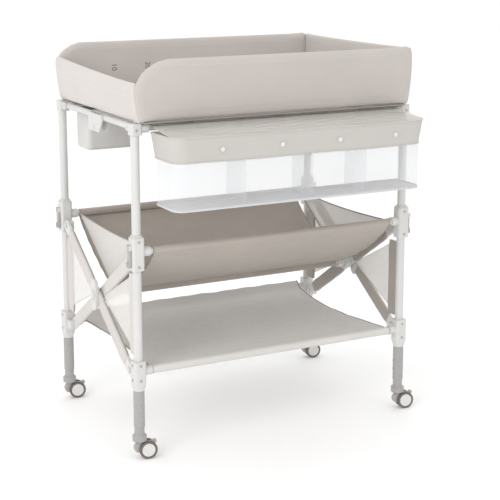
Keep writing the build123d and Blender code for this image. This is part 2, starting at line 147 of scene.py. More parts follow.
def outward(obj: Object) -> Object:
    """Turns all of a mesh's faces outwards."""
    focus(obj)
    bpy.ops.object.mode_set(mode="EDIT")
    bpy.ops.mesh.select_all(action="SELECT")
    bpy.ops.mesh.normals_make_consistent(inside=False)
    return close_edit(obj)


def sheet_grid(name: str, across: int, along: int, place: Callable[[float, float], Point]) -> Object:
    """Adds a grid and lays it as a piece of cloth.

    Args:
        name: The piece's name.
        across: Faces in the first direction.
        along: Faces in the second direction.
        place: Gives the place of a point from its two shares, 0 to 1.

    Returns:
        The new object, one layer thick.
    """
    deselect_all()
    bpy.ops.mesh.primitive_grid_add(x_subdivisions=across, y_subdivisions=along, size=1, location=(0, 0, 0))
    obj = named(bpy.context.object, name)
    for v in obj.data.vertices:
        v.co = place(share_of(v.co.x, -0.5, 0.5), share_of(v.co.y, -0.5, 0.5))
    return outward(obj)


def pick(obj: Object, kind: Pick, test: Test) -> Object:
    """Enters edit mode with only the points, edges or faces that pass a test selected.

    Args:
        obj: The mesh to edit.
        kind: What is selected.
        test: Takes a middle and a direction: a point's or face's normal, or an edge's run.

    Returns:
        The same object, in edit mode.
    """
    focus(obj)
    bpy.ops.object.mode_set(mode="EDIT")
    bpy.ops.mesh.select_mode(type=kind.value)
    bpy.ops.mesh.select_all(action="DESELECT")
    bpy.ops.object.mode_set(mode="OBJECT")
    points = obj.data.vertices
    if kind is Pick.POINTS:
        for v in points:
            v.select = test(v.co, v.normal)
    elif kind is Pick.EDGES:
        for e in obj.data.edges:
            a, b = (points[i].co for i in e.vertices)
            e.select = test((a + b) / 2, (b - a).normalized())
    else:
        for p in obj.data.polygons:
            p.select = test(p.center, p.normal)
    bpy.ops.object.mode_set(mode="EDIT")
    return obj


def close_edit(obj: Object) -> Object:
    """Leaves edit mode and gives the object back."""
    bpy.ops.object.mode_set(mode="OBJECT")
    return obj


def round_edges(obj: Object, test: Test, radius: float, steps: int = 4) -> Object:
    """Rounds the edges that pass a test, with so many faces across the rounding."""
    pick(obj, Pick.EDGES, test)
    bpy.ops.mesh.bevel(offset=radius, segments=steps, affect="EDGES")
    return close_edit(obj)


def stepped(obj: Object, test: Test, *steps: tuple[float, float]) -> Object:
    """Insets the faces that pass a test, step by step.

    Args:
        obj: The mesh.
        test: As in pick, for faces.
        *steps: Each step's width, and its rise above the face before it.

    Returns:
        The same object.
    """
    pick(obj, Pick.FACES, test)
    for width, rise in steps:
        bpy.ops.mesh.inset(thickness=width, depth=rise)
    return close_edit(obj)


def modify(obj: Object, kind: str, **settings: object) -> Object:
    """Adds a modifier with those settings and applies it."""
    modifier = obj.modifiers.new(kind.title(), kind)
    for key, value in settings.items():
        setattr(modifier, key, value)
    focus(obj)
    bpy.ops.object.modifier_apply(modifier=modifier.name)
    return obj


def shade(obj: Object, angle: float = 40) -> Object:
    """Shades a mesh smooth below an angle in degrees."""
    focus(obj)
    bpy.ops.object.shade_smooth_by_angle(angle=radians(angle))
    return obj


def soften(obj: Object, width: float, steps: int = 2) -> Object:
    """Rounds every sharp edge a little and shades the piece smooth."""
    return shade(modify(obj, "BEVEL", width=width, segments=steps, limit_method="ANGLE", angle_limit=radians(40)))


def thick(obj: Object, thickness: float, angle: float = 70, offset: float = 0.0) -> Object:
    """Gives a sheet its thickness and shades it smooth below an angle in degrees."""
    return shade(modify(obj, "SOLIDIFY", thickness=thickness, offset=offset), angle)


def joined(name: str, parts: Sequence[Object]) -> Object:
    """Joins meshes into one piece of that name."""
    deselect_all()
    for part in parts:
        part.select_set(True)
    bpy.context.view_layer.objects.active = parts[0]
    if len(parts) > 1:
        bpy.ops.object.join()
    parts[0].name = parts[0].data.name = name
    return parts[0]


def copied(obj: Object, matrix: Matrix) -> Object:
    """Copies a piece with a mesh of its own, moved by a matrix."""
    copy = obj.copy()
    copy.data = obj.data.copy()
    copy.data.transform(matrix)
    bpy.context.scene.collection.objects.link(copy)
    return copy


def scattered(name: str, pattern: Object, places: Sequence[Matrix]) -> Object:
    """Copies one small part, modelled at the origin, to many places as one piece, and removes the pattern."""
    copies = [copied(pattern, place) for place in places]
    bpy.data.objects.remove(pattern)
    return joined(name, copies)


def welt(name: str, source: Object, keep: Callable[[Vector], bool], radius: float) -> Object:
    """Makes a thin round welt along some of a mesh's edges.

    Args:
        name: The welt's name.
        source: The mesh whose edges it follows.
        keep: Says of an edge's middle whether the welt follows it.
        radius: The welt's radius.

    Returns:
        The new object.
    """
    path = pick(copied(source, Matrix.Identity(4)), Pick.EDGES, lambda m, d: not keep(m))
    bpy.ops.mesh.delete(type="EDGE")
    close_edit(path)
    bpy.ops.object.convert(target="CURVE")
    line = bpy.context.object.data
    line.bevel_depth, line.bevel_resolution, line.use_fill_caps = radius, 2, True
    bpy.ops.object.convert(target="MESH")
    path = bpy.context.object
    path.data.materials.clear()
    path.name = path.data.name = name
    return shade(path, 60)


def rim_welt(name: str, source: Object, radius: float, keep: Callable[[Vector], bool] = lambda p: True) -> Object:
    """Makes a welt along a sheet's open edge.

    Args:
        name: The welt's name.
        source: The sheet, one layer thick.
        radius: The welt's radius.
        keep: Says of an edge's middle whether the welt follows it.

    Returns:
        The new object.
    """
    uses: dict[tuple[int, int], int] = {}
    for p in source.data.polygons:
        for key in p.edge_keys:
            uses[key] = uses.get(key, 0) + 1
    points = source.data.vertices
    rim = [(points[a].co + points[b].co) / 2 for (a, b), count in uses.items() if count == 1]
    wanted = {tuple(middle) for middle in rim if keep(middle)}
    return welt(name, source, lambda m: tuple(m) in wanted, radius)


def puffed(obj: Object, voxel: float, cap: float, pressure: float = 4.0) -> Object:
    """Fills a closed shape as padding fills its cover, by a short cloth simulation.

    Args:
        obj: The cover, slightly slimmer than the finished pad.
        voxel: The size of the remeshed faces.
        cap: How far a point may move.
        pressure: The filling's pressure.

    Returns:
        The same object with the result in its mesh.
    """
    modify(obj, "REMESH", mode="VOXEL", voxel_size=voxel)
    rest = [v.co.copy() for v in obj.data.vertices]
    cloth = obj.modifiers.new("Cloth", "CLOTH")
    cloth.settings.quality = 4
    cloth.settings.use_pressure = True
    cloth.settings.uniform_pressure_force = pressure
    cloth.settings.effector_weights.gravity = 0
    cloth.point_cache.frame_start, cloth.point_cache.frame_end = 1, 20
    for step in range(1, 21):
        bpy.context.scene.frame_set(step)
    found = obj.evaluated_get(bpy.context.evaluated_depsgraph_get())
    moved = [v.co.copy() for v in found.data.vertices]
    obj.modifiers.remove(cloth)
    for v, start, end in zip(obj.data.vertices, rest, moved):
        v.co = start + (end - start) * min(1.0, cap / max((end - start).length, 1e-9))
    bpy.context.scene.frame_set(1)
    modify(obj, "SMOOTH", factor=0.5, iterations=6)
    modify(obj, "SUBSURF", levels=1, render_levels=1)
    return shade(obj, 80)


def wave(x: float, y: float, seed: float) -> float:
    """A smooth uneven wave from -1 to 1, the same each time, for creases and slack in cloth."""
    return (
        sin(x * 23 + seed) * cos(y * 31 + 1.7 * seed)
        + 0.6 * sin(x * 61 + 2.3 * seed + 3 * sin(y * 17))
        + 0.4 * sin(y * 83 + x * 37 + seed)
    ) / 2


# ---- finishes ------------------------------------------------------------------------------------------------


class Recipe:
    """One material's node tree, with its shader and short ways to add to it."""

    def __init__(self, name: str) -> None:
        """Starts a material of that name."""
        self.material = bpy.data.materials.new(name)
        self.material.use_nodes = True
        self.nodes = self.material.node_tree.nodes
        self.links = self.material.node_tree.links
        self.shader = self.nodes["Principled BSDF"]
        self.place = self.add("ShaderNodeTexCoord").outputs["Object"]

    def add(self, kind: str, values: dict[str | int, object] | None = None, **settings: object) -> bpy.types.Node:
        """Adds a node.

        Args:
            kind: The node's type.
            values: What its sockets hold or are joined to.
            **settings: The node's own settings.

        Returns:
            The node.
        """
        node = self.nodes.new(kind)
        for key, value in settings.items():
            setattr(node, key, value)
        for key, value in (values or {}).items():
            self.put(node.inputs[key], value)
        return node

    def put(self, socket: Socket, value: object) -> None:
        """Sets a socket, or joins it to an output."""
        if isinstance(value, Socket):
            self.links.new(value, socket)
        else:
            socket.default_value = value

    def noise(self, scale: float, detail: float = 3.0) -> Socket:
        """A noise of that scale on the piece's own coordinates."""
        values = {"Vector": self.place, "Scale": scale, "Detail": detail}
        return self.add("ShaderNodeTexNoise", values).outputs["Fac"]

    def band(self, direction: str, pitch: float, twist: float = 0.1) -> Socket:
        """Even stripes across one axis, one every pitch metres."""
        values = {"Vector": self.place, "Scale": 0.31416 / pitch, "Distortion": twist, "Detail": 1.0}
        return self.add("ShaderNodeTexWave", values, wave_type="BANDS", bands_direction=direction).outputs["Fac"]

    def maths(self, operation: str, a: object, b: object) -> Socket:
        """One sum of two values."""
        return self.add("ShaderNodeMath", {0: a, 1: b}, operation=operation).outputs[0]

    def span(self, value: object, low: float, high: float, start: float = 0.0, end: float = 1.0) -> Socket:
        """Stretches a value from one range to another."""
        values = {"Value": value, "From Min": start, "From Max": end, "To Min": low, "To Max": high}
        return self.add("ShaderNodeMapRange", values).outputs["Result"]

    def tint(self, share: object, colour: Point, depth: float) -> Socket:
        """A colour that darkens to a share of its brightness."""
        deep = (*(c * depth for c in colour), 1.0)
        return self.add("ShaderNodeMix", {0: share, 6: (*colour, 1.0), 7: deep}, data_type="RGBA").outputs[2]

    def relief(self, height: object, depth: float, under: object = None) -> Socket:
        """Bumps of that depth in metres, on top of other bumps if given."""
        node = self.add("ShaderNodeBump", {"Height": height, "Distance": depth, "Strength": 1.0})
        if under is not None:
            self.put(node.inputs["Normal"], under)
        return node.outputs["Normal"]

    def finish(self, colour: object, rough: object, normal: object, **constants: float) -> Material:
        """Joins the parts to the shader.

        Args:
            colour: The base colour.
            rough: The roughness.
            normal: The bumped normal.
            **constants: Other sockets' plain values, spaces in their names written as underlines.

        Returns:
            The finished material.
        """
        for key, value in (("Base Color", colour), ("Roughness", rough), ("Normal", normal)):
            self.put(self.shader.inputs[key], value)
        for key, value in constants.items():
            self.shader.inputs[key.replace("_", " ")].default_value = value
        return self.material


@dataclass(frozen=True)
class Enamel:
    """Powder coat on steel tube: faint orange peel, and scuffs that are a little duller."""

    name: str
    colour: Point
    gloss: float = 0.3

    def build(self) -> Material:
        """Makes the material."""
        r = Recipe(self.name)
        patch = r.span(r.noise(9.0, 4.0), 0.0, 1.0, 0.35, 0.7)
        scuff = r.span(r.noise(140.0, 6.0), 0.0, 1.0, 0.62, 0.75)
        peel = r.relief(r.noise(900.0, 2.0), 0.00006)
        rough = r.maths("ADD", r.span(patch, self.gloss, self.gloss + 0.08), r.maths("MULTIPLY", scuff, 0.12))
        colour = r.tint(patch, self.colour, 0.96)
        return r.finish(colour, rough, peel, Specular_IOR_Level=0.5, Coat_Weight=0.15, Coat_Roughness=0.2)


@dataclass(frozen=True)
class Moulding:
    """Injection-moulded plastic: a fine spark grain and soft cloudy shade."""

    name: str
    colour: Point
    rough: float = 0.42
    grain: float = 1500.0

    def build(self) -> Material:
        """Makes the material."""
        r = Recipe(self.name)
        cloud = r.span(r.noise(22.0, 3.0), 0.0, 1.0, 0.3, 0.7)
        grain = r.relief(r.noise(self.grain, 2.0), 0.00005)
        rough = r.span(r.noise(self.grain / 3, 2.0), self.rough - 0.06, self.rough + 0.08)
        return r.finish(r.tint(cloud, self.colour, 0.95), rough, grain, Specular_IOR_Level=0.45)


@dataclass(frozen=True)
class Cloth:
    """Plain woven cloth: warp and weft, slubs, slow shade and soft creases."""

    name: str
    colour: Point
    thread: float = 1.5 * MM
    contrast: float = 0.86
    crease: float = 1.2 * MM

    def build(self) -> Material:
        """Makes the material."""
        r = Recipe(self.name)
        weave = r.maths("ADD", r.band("X", self.thread), r.band("Z", self.thread))
        weave = r.maths("MULTIPLY", r.maths("ADD", weave, r.band("Y", self.thread)), 1 / 3)
        slub = r.span(r.noise(0.35 / self.thread, 3.0), -0.2, 0.2)
        tone = r.maths("ADD", r.maths("ADD", weave, slub), r.span(r.noise(7.0, 4.0), -0.35, 0.35, 0.25, 0.75))
        colour = r.tint(r.span(tone, 0.0, 1.0), self.colour, self.contrast)
        threads = r.relief(weave, 0.00012, r.relief(r.noise(16.0, 2.0), self.crease))
        rough = r.span(tone, 0.92, 0.78)
        return r.finish(colour, rough, threads, Sheen_Weight=0.2, Sheen_Roughness=0.5, Specular_IOR_Level=0.2)


@dataclass(frozen=True)
class Netting:
    """Fine mesh cloth: rows of small holes with light threads between them."""

    name: str
    colour: Point
    pitch: float = 2.4 * MM
    cover: float = 0.62

    def build(self) -> Material:
        """Makes the material."""
        r = Recipe(self.name)
        holes = r.maths("MULTIPLY", r.band("Y", self.pitch, 0.0), r.band("Z", self.pitch, 0.0))
        deep = r.span(holes, 0.0, 1.0, 0.3, 0.8)
        cloud = r.span(r.noise(12.0, 3.0), -0.15, 0.15)
        colour = r.tint(r.maths("ADD", r.maths("MULTIPLY", deep, 0.8), cloud), self.colour, 0.8)
        rough, threads = r.span(deep, 0.8, 0.95), r.relief(holes, -0.0002)
        return r.finish(colour, rough, threads, Sheen_Weight=0.15, Alpha=self.cover)


@dataclass(frozen=True)
class Film:
    """Flexible clear film: it shows what is behind it, with a faint milkiness and slow ripples."""

    name: str
    colour: Point
    cover: float

    def build(self) -> Material:
        """Makes the material."""
        r = Recipe(self.name)
        haze = r.span(r.noise(11.0, 3.0), 0.0, 1.0, 0.3, 0.7)
        colour, ripple = r.tint(haze, self.colour, 0.94), r.relief(r.noise(9.0, 2.0), 0.0016)
        return r.finish(colour, r.span(haze, 0.12, 0.22), ripple, Alpha=self.cover, Specular_IOR_Level=0.4)


class Palette:
    """The table's finishes, made once."""

    def __init__(self) -> None:
        """Makes every finish."""
        self.enamel = Enamel("white_powder_coat", (0.63, 0.625, 0.61)).build()
        self.foot = Enamel("grey_satin_tube", (0.36, 0.35, 0.34), 0.42).build()
        self.white = Moulding("white_moulding", (0.64, 0.63, 0.615)).build()
        self.grey = Moulding("grey_moulding", (0.42, 0.41, 0.40), 0.5).build()
        self.tray = Cloth("tray_cloth", (0.545, 0.505, 0.475), contrast=0.9).build()
        # A lighter copy of the tray cloth, painted light: used on the lit left end, the floor pads' tops and the
        # covers' outer faces.
        self.tray_end = Cloth("tray_end_cloth", (0.62, 0.585, 0.56), contrast=0.92).build()
        self.welt = Cloth("welt_cloth", (0.55, 0.49, 0.45), 1.0 * MM, 0.8).build()
        self.taupe = Cloth("taupe_binding", (0.34, 0.30, 0.27), 1.0 * MM, 0.8).build()
        self.sling = Cloth("sling_cloth", (0.455, 0.41, 0.365), 1.4 * MM, 0.86, 2.0 * MM).build()
        self.deck = Cloth("shelf_cloth", (0.68, 0.66, 0.635), 1.4 * MM, 0.9, 1.6 * MM).build()
        # The covers' dark inner side: partly their own taupe cloth and partly painted shade. The zip's coil uses it
        # too.
        self.strip = Cloth("arm_cover_cloth", (0.40, 0.365, 0.335), 1.2 * MM, 0.84, 1.6 * MM).build()
        self.net = Netting("off_white_net", (0.84, 0.82, 0.79)).build()
        self.band = Cloth("organiser_cloth", (0.535, 0.515, 0.485), 1.3 * MM, 0.95).build()
        self.film = Film("clear_film", (0.90, 0.91, 0.93), 0.16).build()
        self.cover = Film("milky_film", (0.74, 0.72, 0.68), 0.66).build()
        self.board = Moulding("grey_board", (0.60, 0.60, 0.61), 0.55, 900.0).build()
        self.tyre = Moulding("taupe_tyre", (0.16, 0.13, 0.115), 0.7, 700.0).build()
        self.disc = Moulding("light_disc", (0.70, 0.69, 0.67), 0.4).build()
        self.ink = Moulding("dark_ink", (0.10, 0.10, 0.11), 0.6, 2500.0).build()
        self.snap = Moulding("white_snap", (0.72, 0.71, 0.69), 0.3).build()


def dress(obj: Object, material: Material) -> Object:
    """Gives a piece one finish all over."""
    obj.data.materials.clear()
    obj.data.materials.append(material)
    for p in obj.data.polygons:
        p.material_index = 0
    return obj


def label(obj: Object, slot: str, *nodes: str) -> Object:
    """Hides the nodes that a piece stands for, and reports it."""
    if nodes:
        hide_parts(*nodes)
    log.info("%s: %d faces", obj.name, len(obj.data.polygons))
    return obj


def fit_out(obj: Object, body: str, slot: str, *nodes: str) -> Object:
    """Hangs a finished piece on what it rides on, and hides the nodes it stands for."""
    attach(obj, body)
    return label(obj, slot, *nodes)


def gathers(pieces: Sequence[Object], y: float, keep: float) -> None:
    """Gives each soft piece a mesh of its own."""
    for piece in pieces:
        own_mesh(piece)


# ---- where the frame's parts are ------------------------------------------------------------------------------


class Row(NamedTuple):
    """A pair of legs: front or back, its Y and the way inwards."""

    name: str
    y: float
    inward: int

    @property
    def frame(self) -> str:
        """The body of its legs and rails."""
        return f"{self.name}_frame"

    def off(self, reach: float) -> float:
        """The Y that far inwards from its legs."""
        return self.y + self.inward * reach


@dataclass(frozen=True)
class Plan:
    """The frame's main lines, read from the frame's own nodes."""

    mid_x: float
    leg_x: float
    leg_r: float
    front: Row
    back: Row
    rail_r: float = 8 * MM
    hub_z: float = 363 * MM
    mid_rail_z: float = 529 * MM
    low_rail_z: float = 227 * MM
    top_rail_z: float = 832 * MM
    pivot_in: float = 33 * MM
    low_pivot_z: float = 222 * MM
    high_pivot_z: float = 504 * MM

    @classmethod
    def read(cls) -> "Plan":
        """Measures the legs."""
        low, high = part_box("legs_front")
        back_low, back_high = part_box("legs_back")
        radius = (high.y - low.y) / 2
        front = Row("front", (low.y + high.y) / 2, 1)
        back = Row("back", (back_low.y + back_high.y) / 2, -1)
        return cls((low.x + high.x) / 2, (high.x - low.x) / 2 - radius, radius, front, back)

    @property
    def rows(self) -> tuple[Row, Row]:
        """The front and the back pair of legs."""
        return (self.front, self.back)

    @property
    def mid_y(self) -> float:
        """Half way between the front and back legs."""
        return (self.front.y + self.back.y) / 2

    def x(self, side: int, out: float = 0.0) -> float:
        """An X value some way outboard of the left or right legs' axis."""
        return self.mid_x + side * (self.leg_x + out)

    def along(self, share: float, half: float) -> float:
        """An X value from one end to the other of a length centred on the table."""
        return self.mid_x + (share - 0.5) * 2 * half


@dataclass
class Group:
    """A sub-assembly, with the frame's lines and the finishes at hand."""

    plan: Plan
    palette: Palette


# ---- tray ------------------------------------------------------------------------------------------------------


@dataclass
class Tray(Group):
    """Padded floor in two halves with four padded walls, and a ruler printed inside the back wall."""

    front_corner: float = 90 * MM
    back_corner: float = 72 * MM
    slim: float = 3.0 * MM
    tuck: float = 11 * MM
    spare: float = 3 * MM
    lean_out: float = 12 * MM
    voxel: float = 5 * MM
    swell: float = 2.6 * MM
    fold_keep: float = 0.357
    channel: float = 128 * MM
    tabs: tuple[float, ...] = (-270 * MM, -138 * MM, 138 * MM, 270 * MM)
    tab_half: float = 34 * MM
    foot_half: float = 372 * MM
    first_mark: float = -228 * MM
    mark_step: float = 100 * MM
    marks: int = 6
    mark_z: float = 925 * MM
    tick_z: float = 874 * MM

    def build(self) -> None:
        """Makes the walls, ends, floor, skirt and ruler."""
        back = self.wall(self.plan.back, self.back_corner)
        self.wall(self.plan.front, self.front_corner)
        for name, side in FLANKS:
            self.end(name, side)
        for row in self.plan.rows:
            self.floor(row)
            self.skirt(row)
        self.ruler(back)

    def wall(self, row: Row, corner: float) -> Object:
        """A long padded wall with full edges, whose top comes down in a wide curve at the low end.

        Args:
            row: The legs that it stands over.
            corner: The curve's radius.

        Returns:
            The wall.
        """
        node = f"tray_wall_{row.name}"
        low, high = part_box(node)
        inset = Vector((-self.spare, self.slim * 1.6, -self.spare / 2))
        low, high = low + inset, high - inset
        pad = brick(f"tray_wall_pad_{row.name}", low, high)
        for radius, steps, near in (
            (corner, 14, lambda m: m.z > high.z - MM and m.x < low.x + MM),
            (20 * MM, 6, lambda m: m.z > high.z - MM and m.x > high.x - MM),
            (7 * MM, 3, lambda m: m.z < low.z + MM),
        ):
            round_edges(pad, lambda m, d: abs(d.y) > 0.9 and near(m), radius, steps)
        round_edges(pad, lambda m, d: abs(d.y) < 0.1, 6.5 * MM, 4)
        self.flare(puffed(pad, self.voxel, 4.0 * MM, 5.0))
        dress(pad, self.palette.tray)
        return fit_out(pad, row.frame, "tray_fabric", node)

    def flare(self, pad: Object) -> None:
        """Leans a wall's or an end's outer part outwards above its foot."""
        low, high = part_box("tray_wall_back")
        half = high.x - self.plan.mid_x
        for v in pad.data.vertices:
            off = v.co.x - self.plan.mid_x
            up = sin(0.7 * pi * share_of(v.co.z, low.z, high.z))
            v.co.x += (1 if off > 0 else -1) * self.lean_out * share_of(abs(off), 0.7 * half, half) ** 2 * up

    def end(self, name: str, side: int) -> None:
        """A padded end wall.

        Args:
            name: Left or right.
            side: -1 or 1.
        """
        node = f"tray_end_{name}"
        low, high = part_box(node)
        inset = Vector((self.slim * 0.4, -self.tuck, -self.spare / 2))
        pad = brick(f"tray_end_pad_{name}", low + inset, high - inset)
        round_edges(pad, lambda m, d: abs(d.y) > 0.9, 3 * MM, 2)
        puffed(pad, self.voxel, self.swell)
        for v in pad.data.vertices:
            share = share_of(v.co.y, low.y, high.y)
            up = max(0.0, (v.co.z - low.z) / (high.z - low.z)) ** 2
            v.co.z += up * (-4 * MM + 22 * MM * share**1.6 if side < 0 else -2 * MM * sin(pi * share))
        self.flare(pad)
        # The left end, on the lit side, gets the lighter copy of the tray cloth as painted light; the right end
        # keeps the plain tray cloth.
        dress(pad, self.palette.tray_end if side < 0 else self.palette.tray)
        fit_out(pad, "front_frame", "tray_fabric", node)
        gathers([pad], low.y, self.fold_keep)

    def floor(self, row: Row) -> None:
        """The half of the padded floor beside one pair of legs, with sewn channels."""
        node = f"tray_floor_{row.name}"
        low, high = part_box(node)
        inset = Vector((self.slim, self.slim * 0.4, self.slim))
        pad = puffed(brick(f"tray_floor_pad_{row.name}", low + inset, high - inset), 6 * MM, self.swell)
        middle = (low.x + high.x) / 2
        for v in pad.data.vertices:
            if v.co.z > (low.z + high.z) / 2:
                stitch = min(abs(v.co.x - middle - k * self.channel) for k in range(-2, 3))
                v.co.z -= self.swell * exp(-((stitch / (7 * MM)) ** 2))
        # The floor pads get the lighter copy of the tray cloth: painted light on their lit tops.
        dress(pad, self.palette.tray_end)
        label(pad, "tray_fabric", node)
        pivot = self.plan.pivot_in
        start, stop = (0, row.off(pivot - 8 * MM), high.z), (0, row.off(pivot + 34 * MM), high.z)
        row.frame
        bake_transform(pad)
        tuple(start)
        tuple(stop)

    def skirt(self, row: Row) -> None:
        """Cloth tabs that hold a long wall's foot to the top rail, and the band above them."""
        plan = self.plan
        reach = plan.rail_r + 1.2 * MM
        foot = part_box(f"tray_wall_{row.name}")[0].z

        def wrap(centre: float, u: float, v: float) -> Point:
            """One point of the tab at that centre."""
            x = plan.along(u, self.tab_half) + centre + 0.6 * MM * wave(v, u, centre)
            turn = -0.55 * pi + v * 1.45 * pi
            return (x, row.off(reach * sin(turn)), min(plan.top_rail_z - reach * cos(turn), foot - 0.6 * MM))

        parts = [sheet_grid("tab", 10, 18, lambda u, v: wrap(centre, u, v)) for centre in self.tabs]
        parts = [thick(part, 0.9 * MM, 60, 1.0) for part in parts]
        fit_out(dress(joined(f"tray_rail_tabs_{row.name}", parts), self.palette.taupe), row.frame, "tray_fabric")
        near, far = sorted((row.off(-27 * MM), row.off(-5 * MM)))
        low = (plan.mid_x - self.foot_half, near, foot - 2 * MM)
        high = (plan.mid_x + self.foot_half, far, foot + 1.5 * MM)
        strip = soften(brick(f"tray_foot_binding_{row.name}", low, high), 1.2 * MM, 3)
        fit_out(dress(strip, self.palette.taupe), row.frame, "tray_fabric")

    def ruler(self, wall: Object) -> None:
        """Numbers and short marks printed inside the back wall's pad."""
        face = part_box("tray_wall_back")[0].y - 4 * MM
        start = self.plan.mid_x + self.first_mark
        parts = []
        for number in range(self.marks):
            deselect_all()
            at = (start + number * self.mark_step, face, self.mark_z)
            bpy.ops.object.text_add(location=at, rotation=(pi / 2, pi / 2, 0))
            words = bpy.context.object.data
            words.body, words.size, words.resolution_u = str(10 * (number + 1)), 21 * MM, 3
            words.align_x, words.align_y = "CENTER", "CENTER"
            bpy.ops.object.convert(target="MESH")
            parts.append(named(bpy.context.object, "number"))
        for k in range(-3, self.marks * 5 + 1):
            x = start + k * self.mark_step / 5
            tall = 6 * MM if k % 5 else 12 * MM
            low, high = (x - 0.5 * MM, face - 0.2 * MM, self.tick_z), (x + 0.5 * MM, face, self.tick_z + tall)
            line = pick(brick("line", low, high), Pick.FACES, lambda m, n: n.y > -0.5)
            bpy.ops.mesh.delete(type="FACE")
            parts.append(close_edit(line))
        ink = modify(joined("ruler_print", parts), "SUBSURF", levels=1, render_levels=1, subdivision_type="SIMPLE")
        modify(
            ink, "SHRINKWRAP", target=wall, wrap_method="PROJECT", use_project_y=True,
            use_positive_direction=True, use_negative_direction=True, offset=0.35 * MM,
        )
        fit_out(dress(ink, self.palette.ink), "back_frame", "tray_fabric")


# ---- frame ------------------------------------------------------------------------------------------------------


@dataclass
class Hardware(Group):
    """The frame's tubes and mouldings in their finishes, with the screws, caps, buttons and ridges on them."""

    joint_face: float = 16 * MM
    fitting_face: float = 12.8 * MM
    cap_face: float = 20 * MM
    foot_r: float = 13 * MM
    button_z: tuple[float, ...] = (104 * MM, 128 * MM, 152 * MM)
    ridge_z: float = 496 * MM

    def build(self) -> None:
        """Dresses the carried nodes and adds the small parts."""
        self.dress_nodes()
        self.joint_screws()
        self.hub_caps()
        for row in self.plan.rows:
            for name, side in FLANKS:
                self.foot_details(f"{row.name}_{name}", row)
                self.latch_grip(f"{row.name}_{name}", side, row)

    def dress_nodes(self) -> None:
        """Gives each carried node its finish."""
        p = self.palette
        finishes = {
            "legs": p.enamel, "mid": p.enamel, "arm": p.enamel, "foot": p.foot, "wheel": p.tyre,
            "end": p.white, "cross": p.white, "slider": p.white, "side": p.white,
            "latch": p.grey, "castor": p.grey, "brake": p.grey, "organiser": p.band,
        }
        for name, obj in frame["nodes"].items():
            start = name.split("_")[0]
            material = finishes.get(start, p.tray)
            if start in ("lower", "top"):
                material = p.enamel if "rail" in name else p.white
            for held in obj.material_slots:
                held.material = material

    @staticmethod
    def facing(row: Row, x: float, reach: float, z: float) -> Matrix:
        """A place on the outer face of a leg or moulding, for a part that is modelled facing up."""
        return Matrix.Translation((x, row.off(-reach), z)) @ Matrix.Rotation(row.inward * pi / 2, 4, "X")

    def screw(self, radius: float) -> Object:
        """A pan-head screw with a recess, at the origin, facing up."""
        head = barrel("screw", (0, 0, 0.7 * MM), radius, 1.4 * MM, "Z", 24)
        stepped(head, lambda m, n: n.z > 0.9, (radius * 0.45, 0.5 * MM), (radius * 0.15, -0.7 * MM))
        return soften(head, 0.25 * MM, 2)

    def joint_screws(self) -> None:
        """Screws on the lower joints, the top fittings and the sliders."""
        for row in self.plan.rows:
            for name, body, joints, fittings in (
                ("joint", row.frame, (206 * MM, 244 * MM), (828 * MM,)),
                ("slider", f"sliders_{row.name}", (494 * MM, 556 * MM), ()),
            ):
                places = []
                for _, side in FLANKS:
                    x = self.plan.x(side)
                    places += [self.facing(row, x, self.joint_face, z) for z in joints]
                    places += [self.facing(row, x, self.fitting_face, z) for z in fittings]
                    for z in joints if fittings else ():
                        place = Matrix.Translation((self.plan.x(side, self.joint_face), row.y, z))
                        places.append(place @ Matrix.Rotation(side * pi / 2, 4, "Y"))
                screws = scattered(f"{name}_screws_{row.name}", self.screw(3.4 * MM), places)
                fit_out(dress(screws, self.palette.grey), body, "grey_plastic")

    def hub_caps(self) -> None:
        """The domed caps on the outside of the scissors' hubs."""
        caps = []
        for _, side in FLANKS:
            at = (self.plan.x(side, self.cap_face), self.plan.mid_y, self.plan.hub_z)
            cap = barrel("cap", at, 11 * MM, 3.0 * MM, "X", 40)
            stepped(cap, lambda m, n: n.x * side > 0.9, (4 * MM, 1.2 * MM), (2 * MM, -1.0 * MM))
            caps.append(soften(cap, 0.8 * MM, 3))
        fit_out(dress(joined("hub_caps", caps), self.palette.white), "arms_a", "white_plastic")

    def foot_details(self, tag: str, row: Row) -> None:
        """Height buttons on the foot tube of the corner with that tag."""
        low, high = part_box(f"foot_{tag}")
        places = [self.facing(row, (low.x + high.x) / 2, self.foot_r, z) for z in self.button_z]
        button = soften(barrel("button", (0, 0, 0.4 * MM), 3.0 * MM, 2.4 * MM, "Z", 24), 0.8 * MM, 3)
        buttons = dress(scattered(f"foot_buttons_{tag}", button, places), self.palette.grey)
        fit_out(buttons, f"foot_{tag}", "grey_plastic")

    def latch_grip(self, tag: str, side: int, row: Row) -> None:
        """Ridges on the thumb pad of a corner's latch.

        Args:
            tag: The corner's name.
            side: -1 or 1.
            row: Its pair of legs.
        """
        low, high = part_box(f"latch_{tag}")
        face = high.x if side > 0 else low.x
        a, b = sorted((face - side * 0.5 * MM, face + side * 0.7 * MM))
        ridges = []
        for k in range(4):
            z = self.ridge_z + k * 3 * MM
            ridge = brick("ridge", (a, row.y - 5 * MM, z), (b, row.y + 5 * MM, z + 1.4 * MM))
            ridges.append(soften(ridge, 0.35 * MM))
        fit_out(dress(joined(f"latch_grip_{tag}", ridges), self.palette.grey), f"latch_{tag}", "grey_plastic")


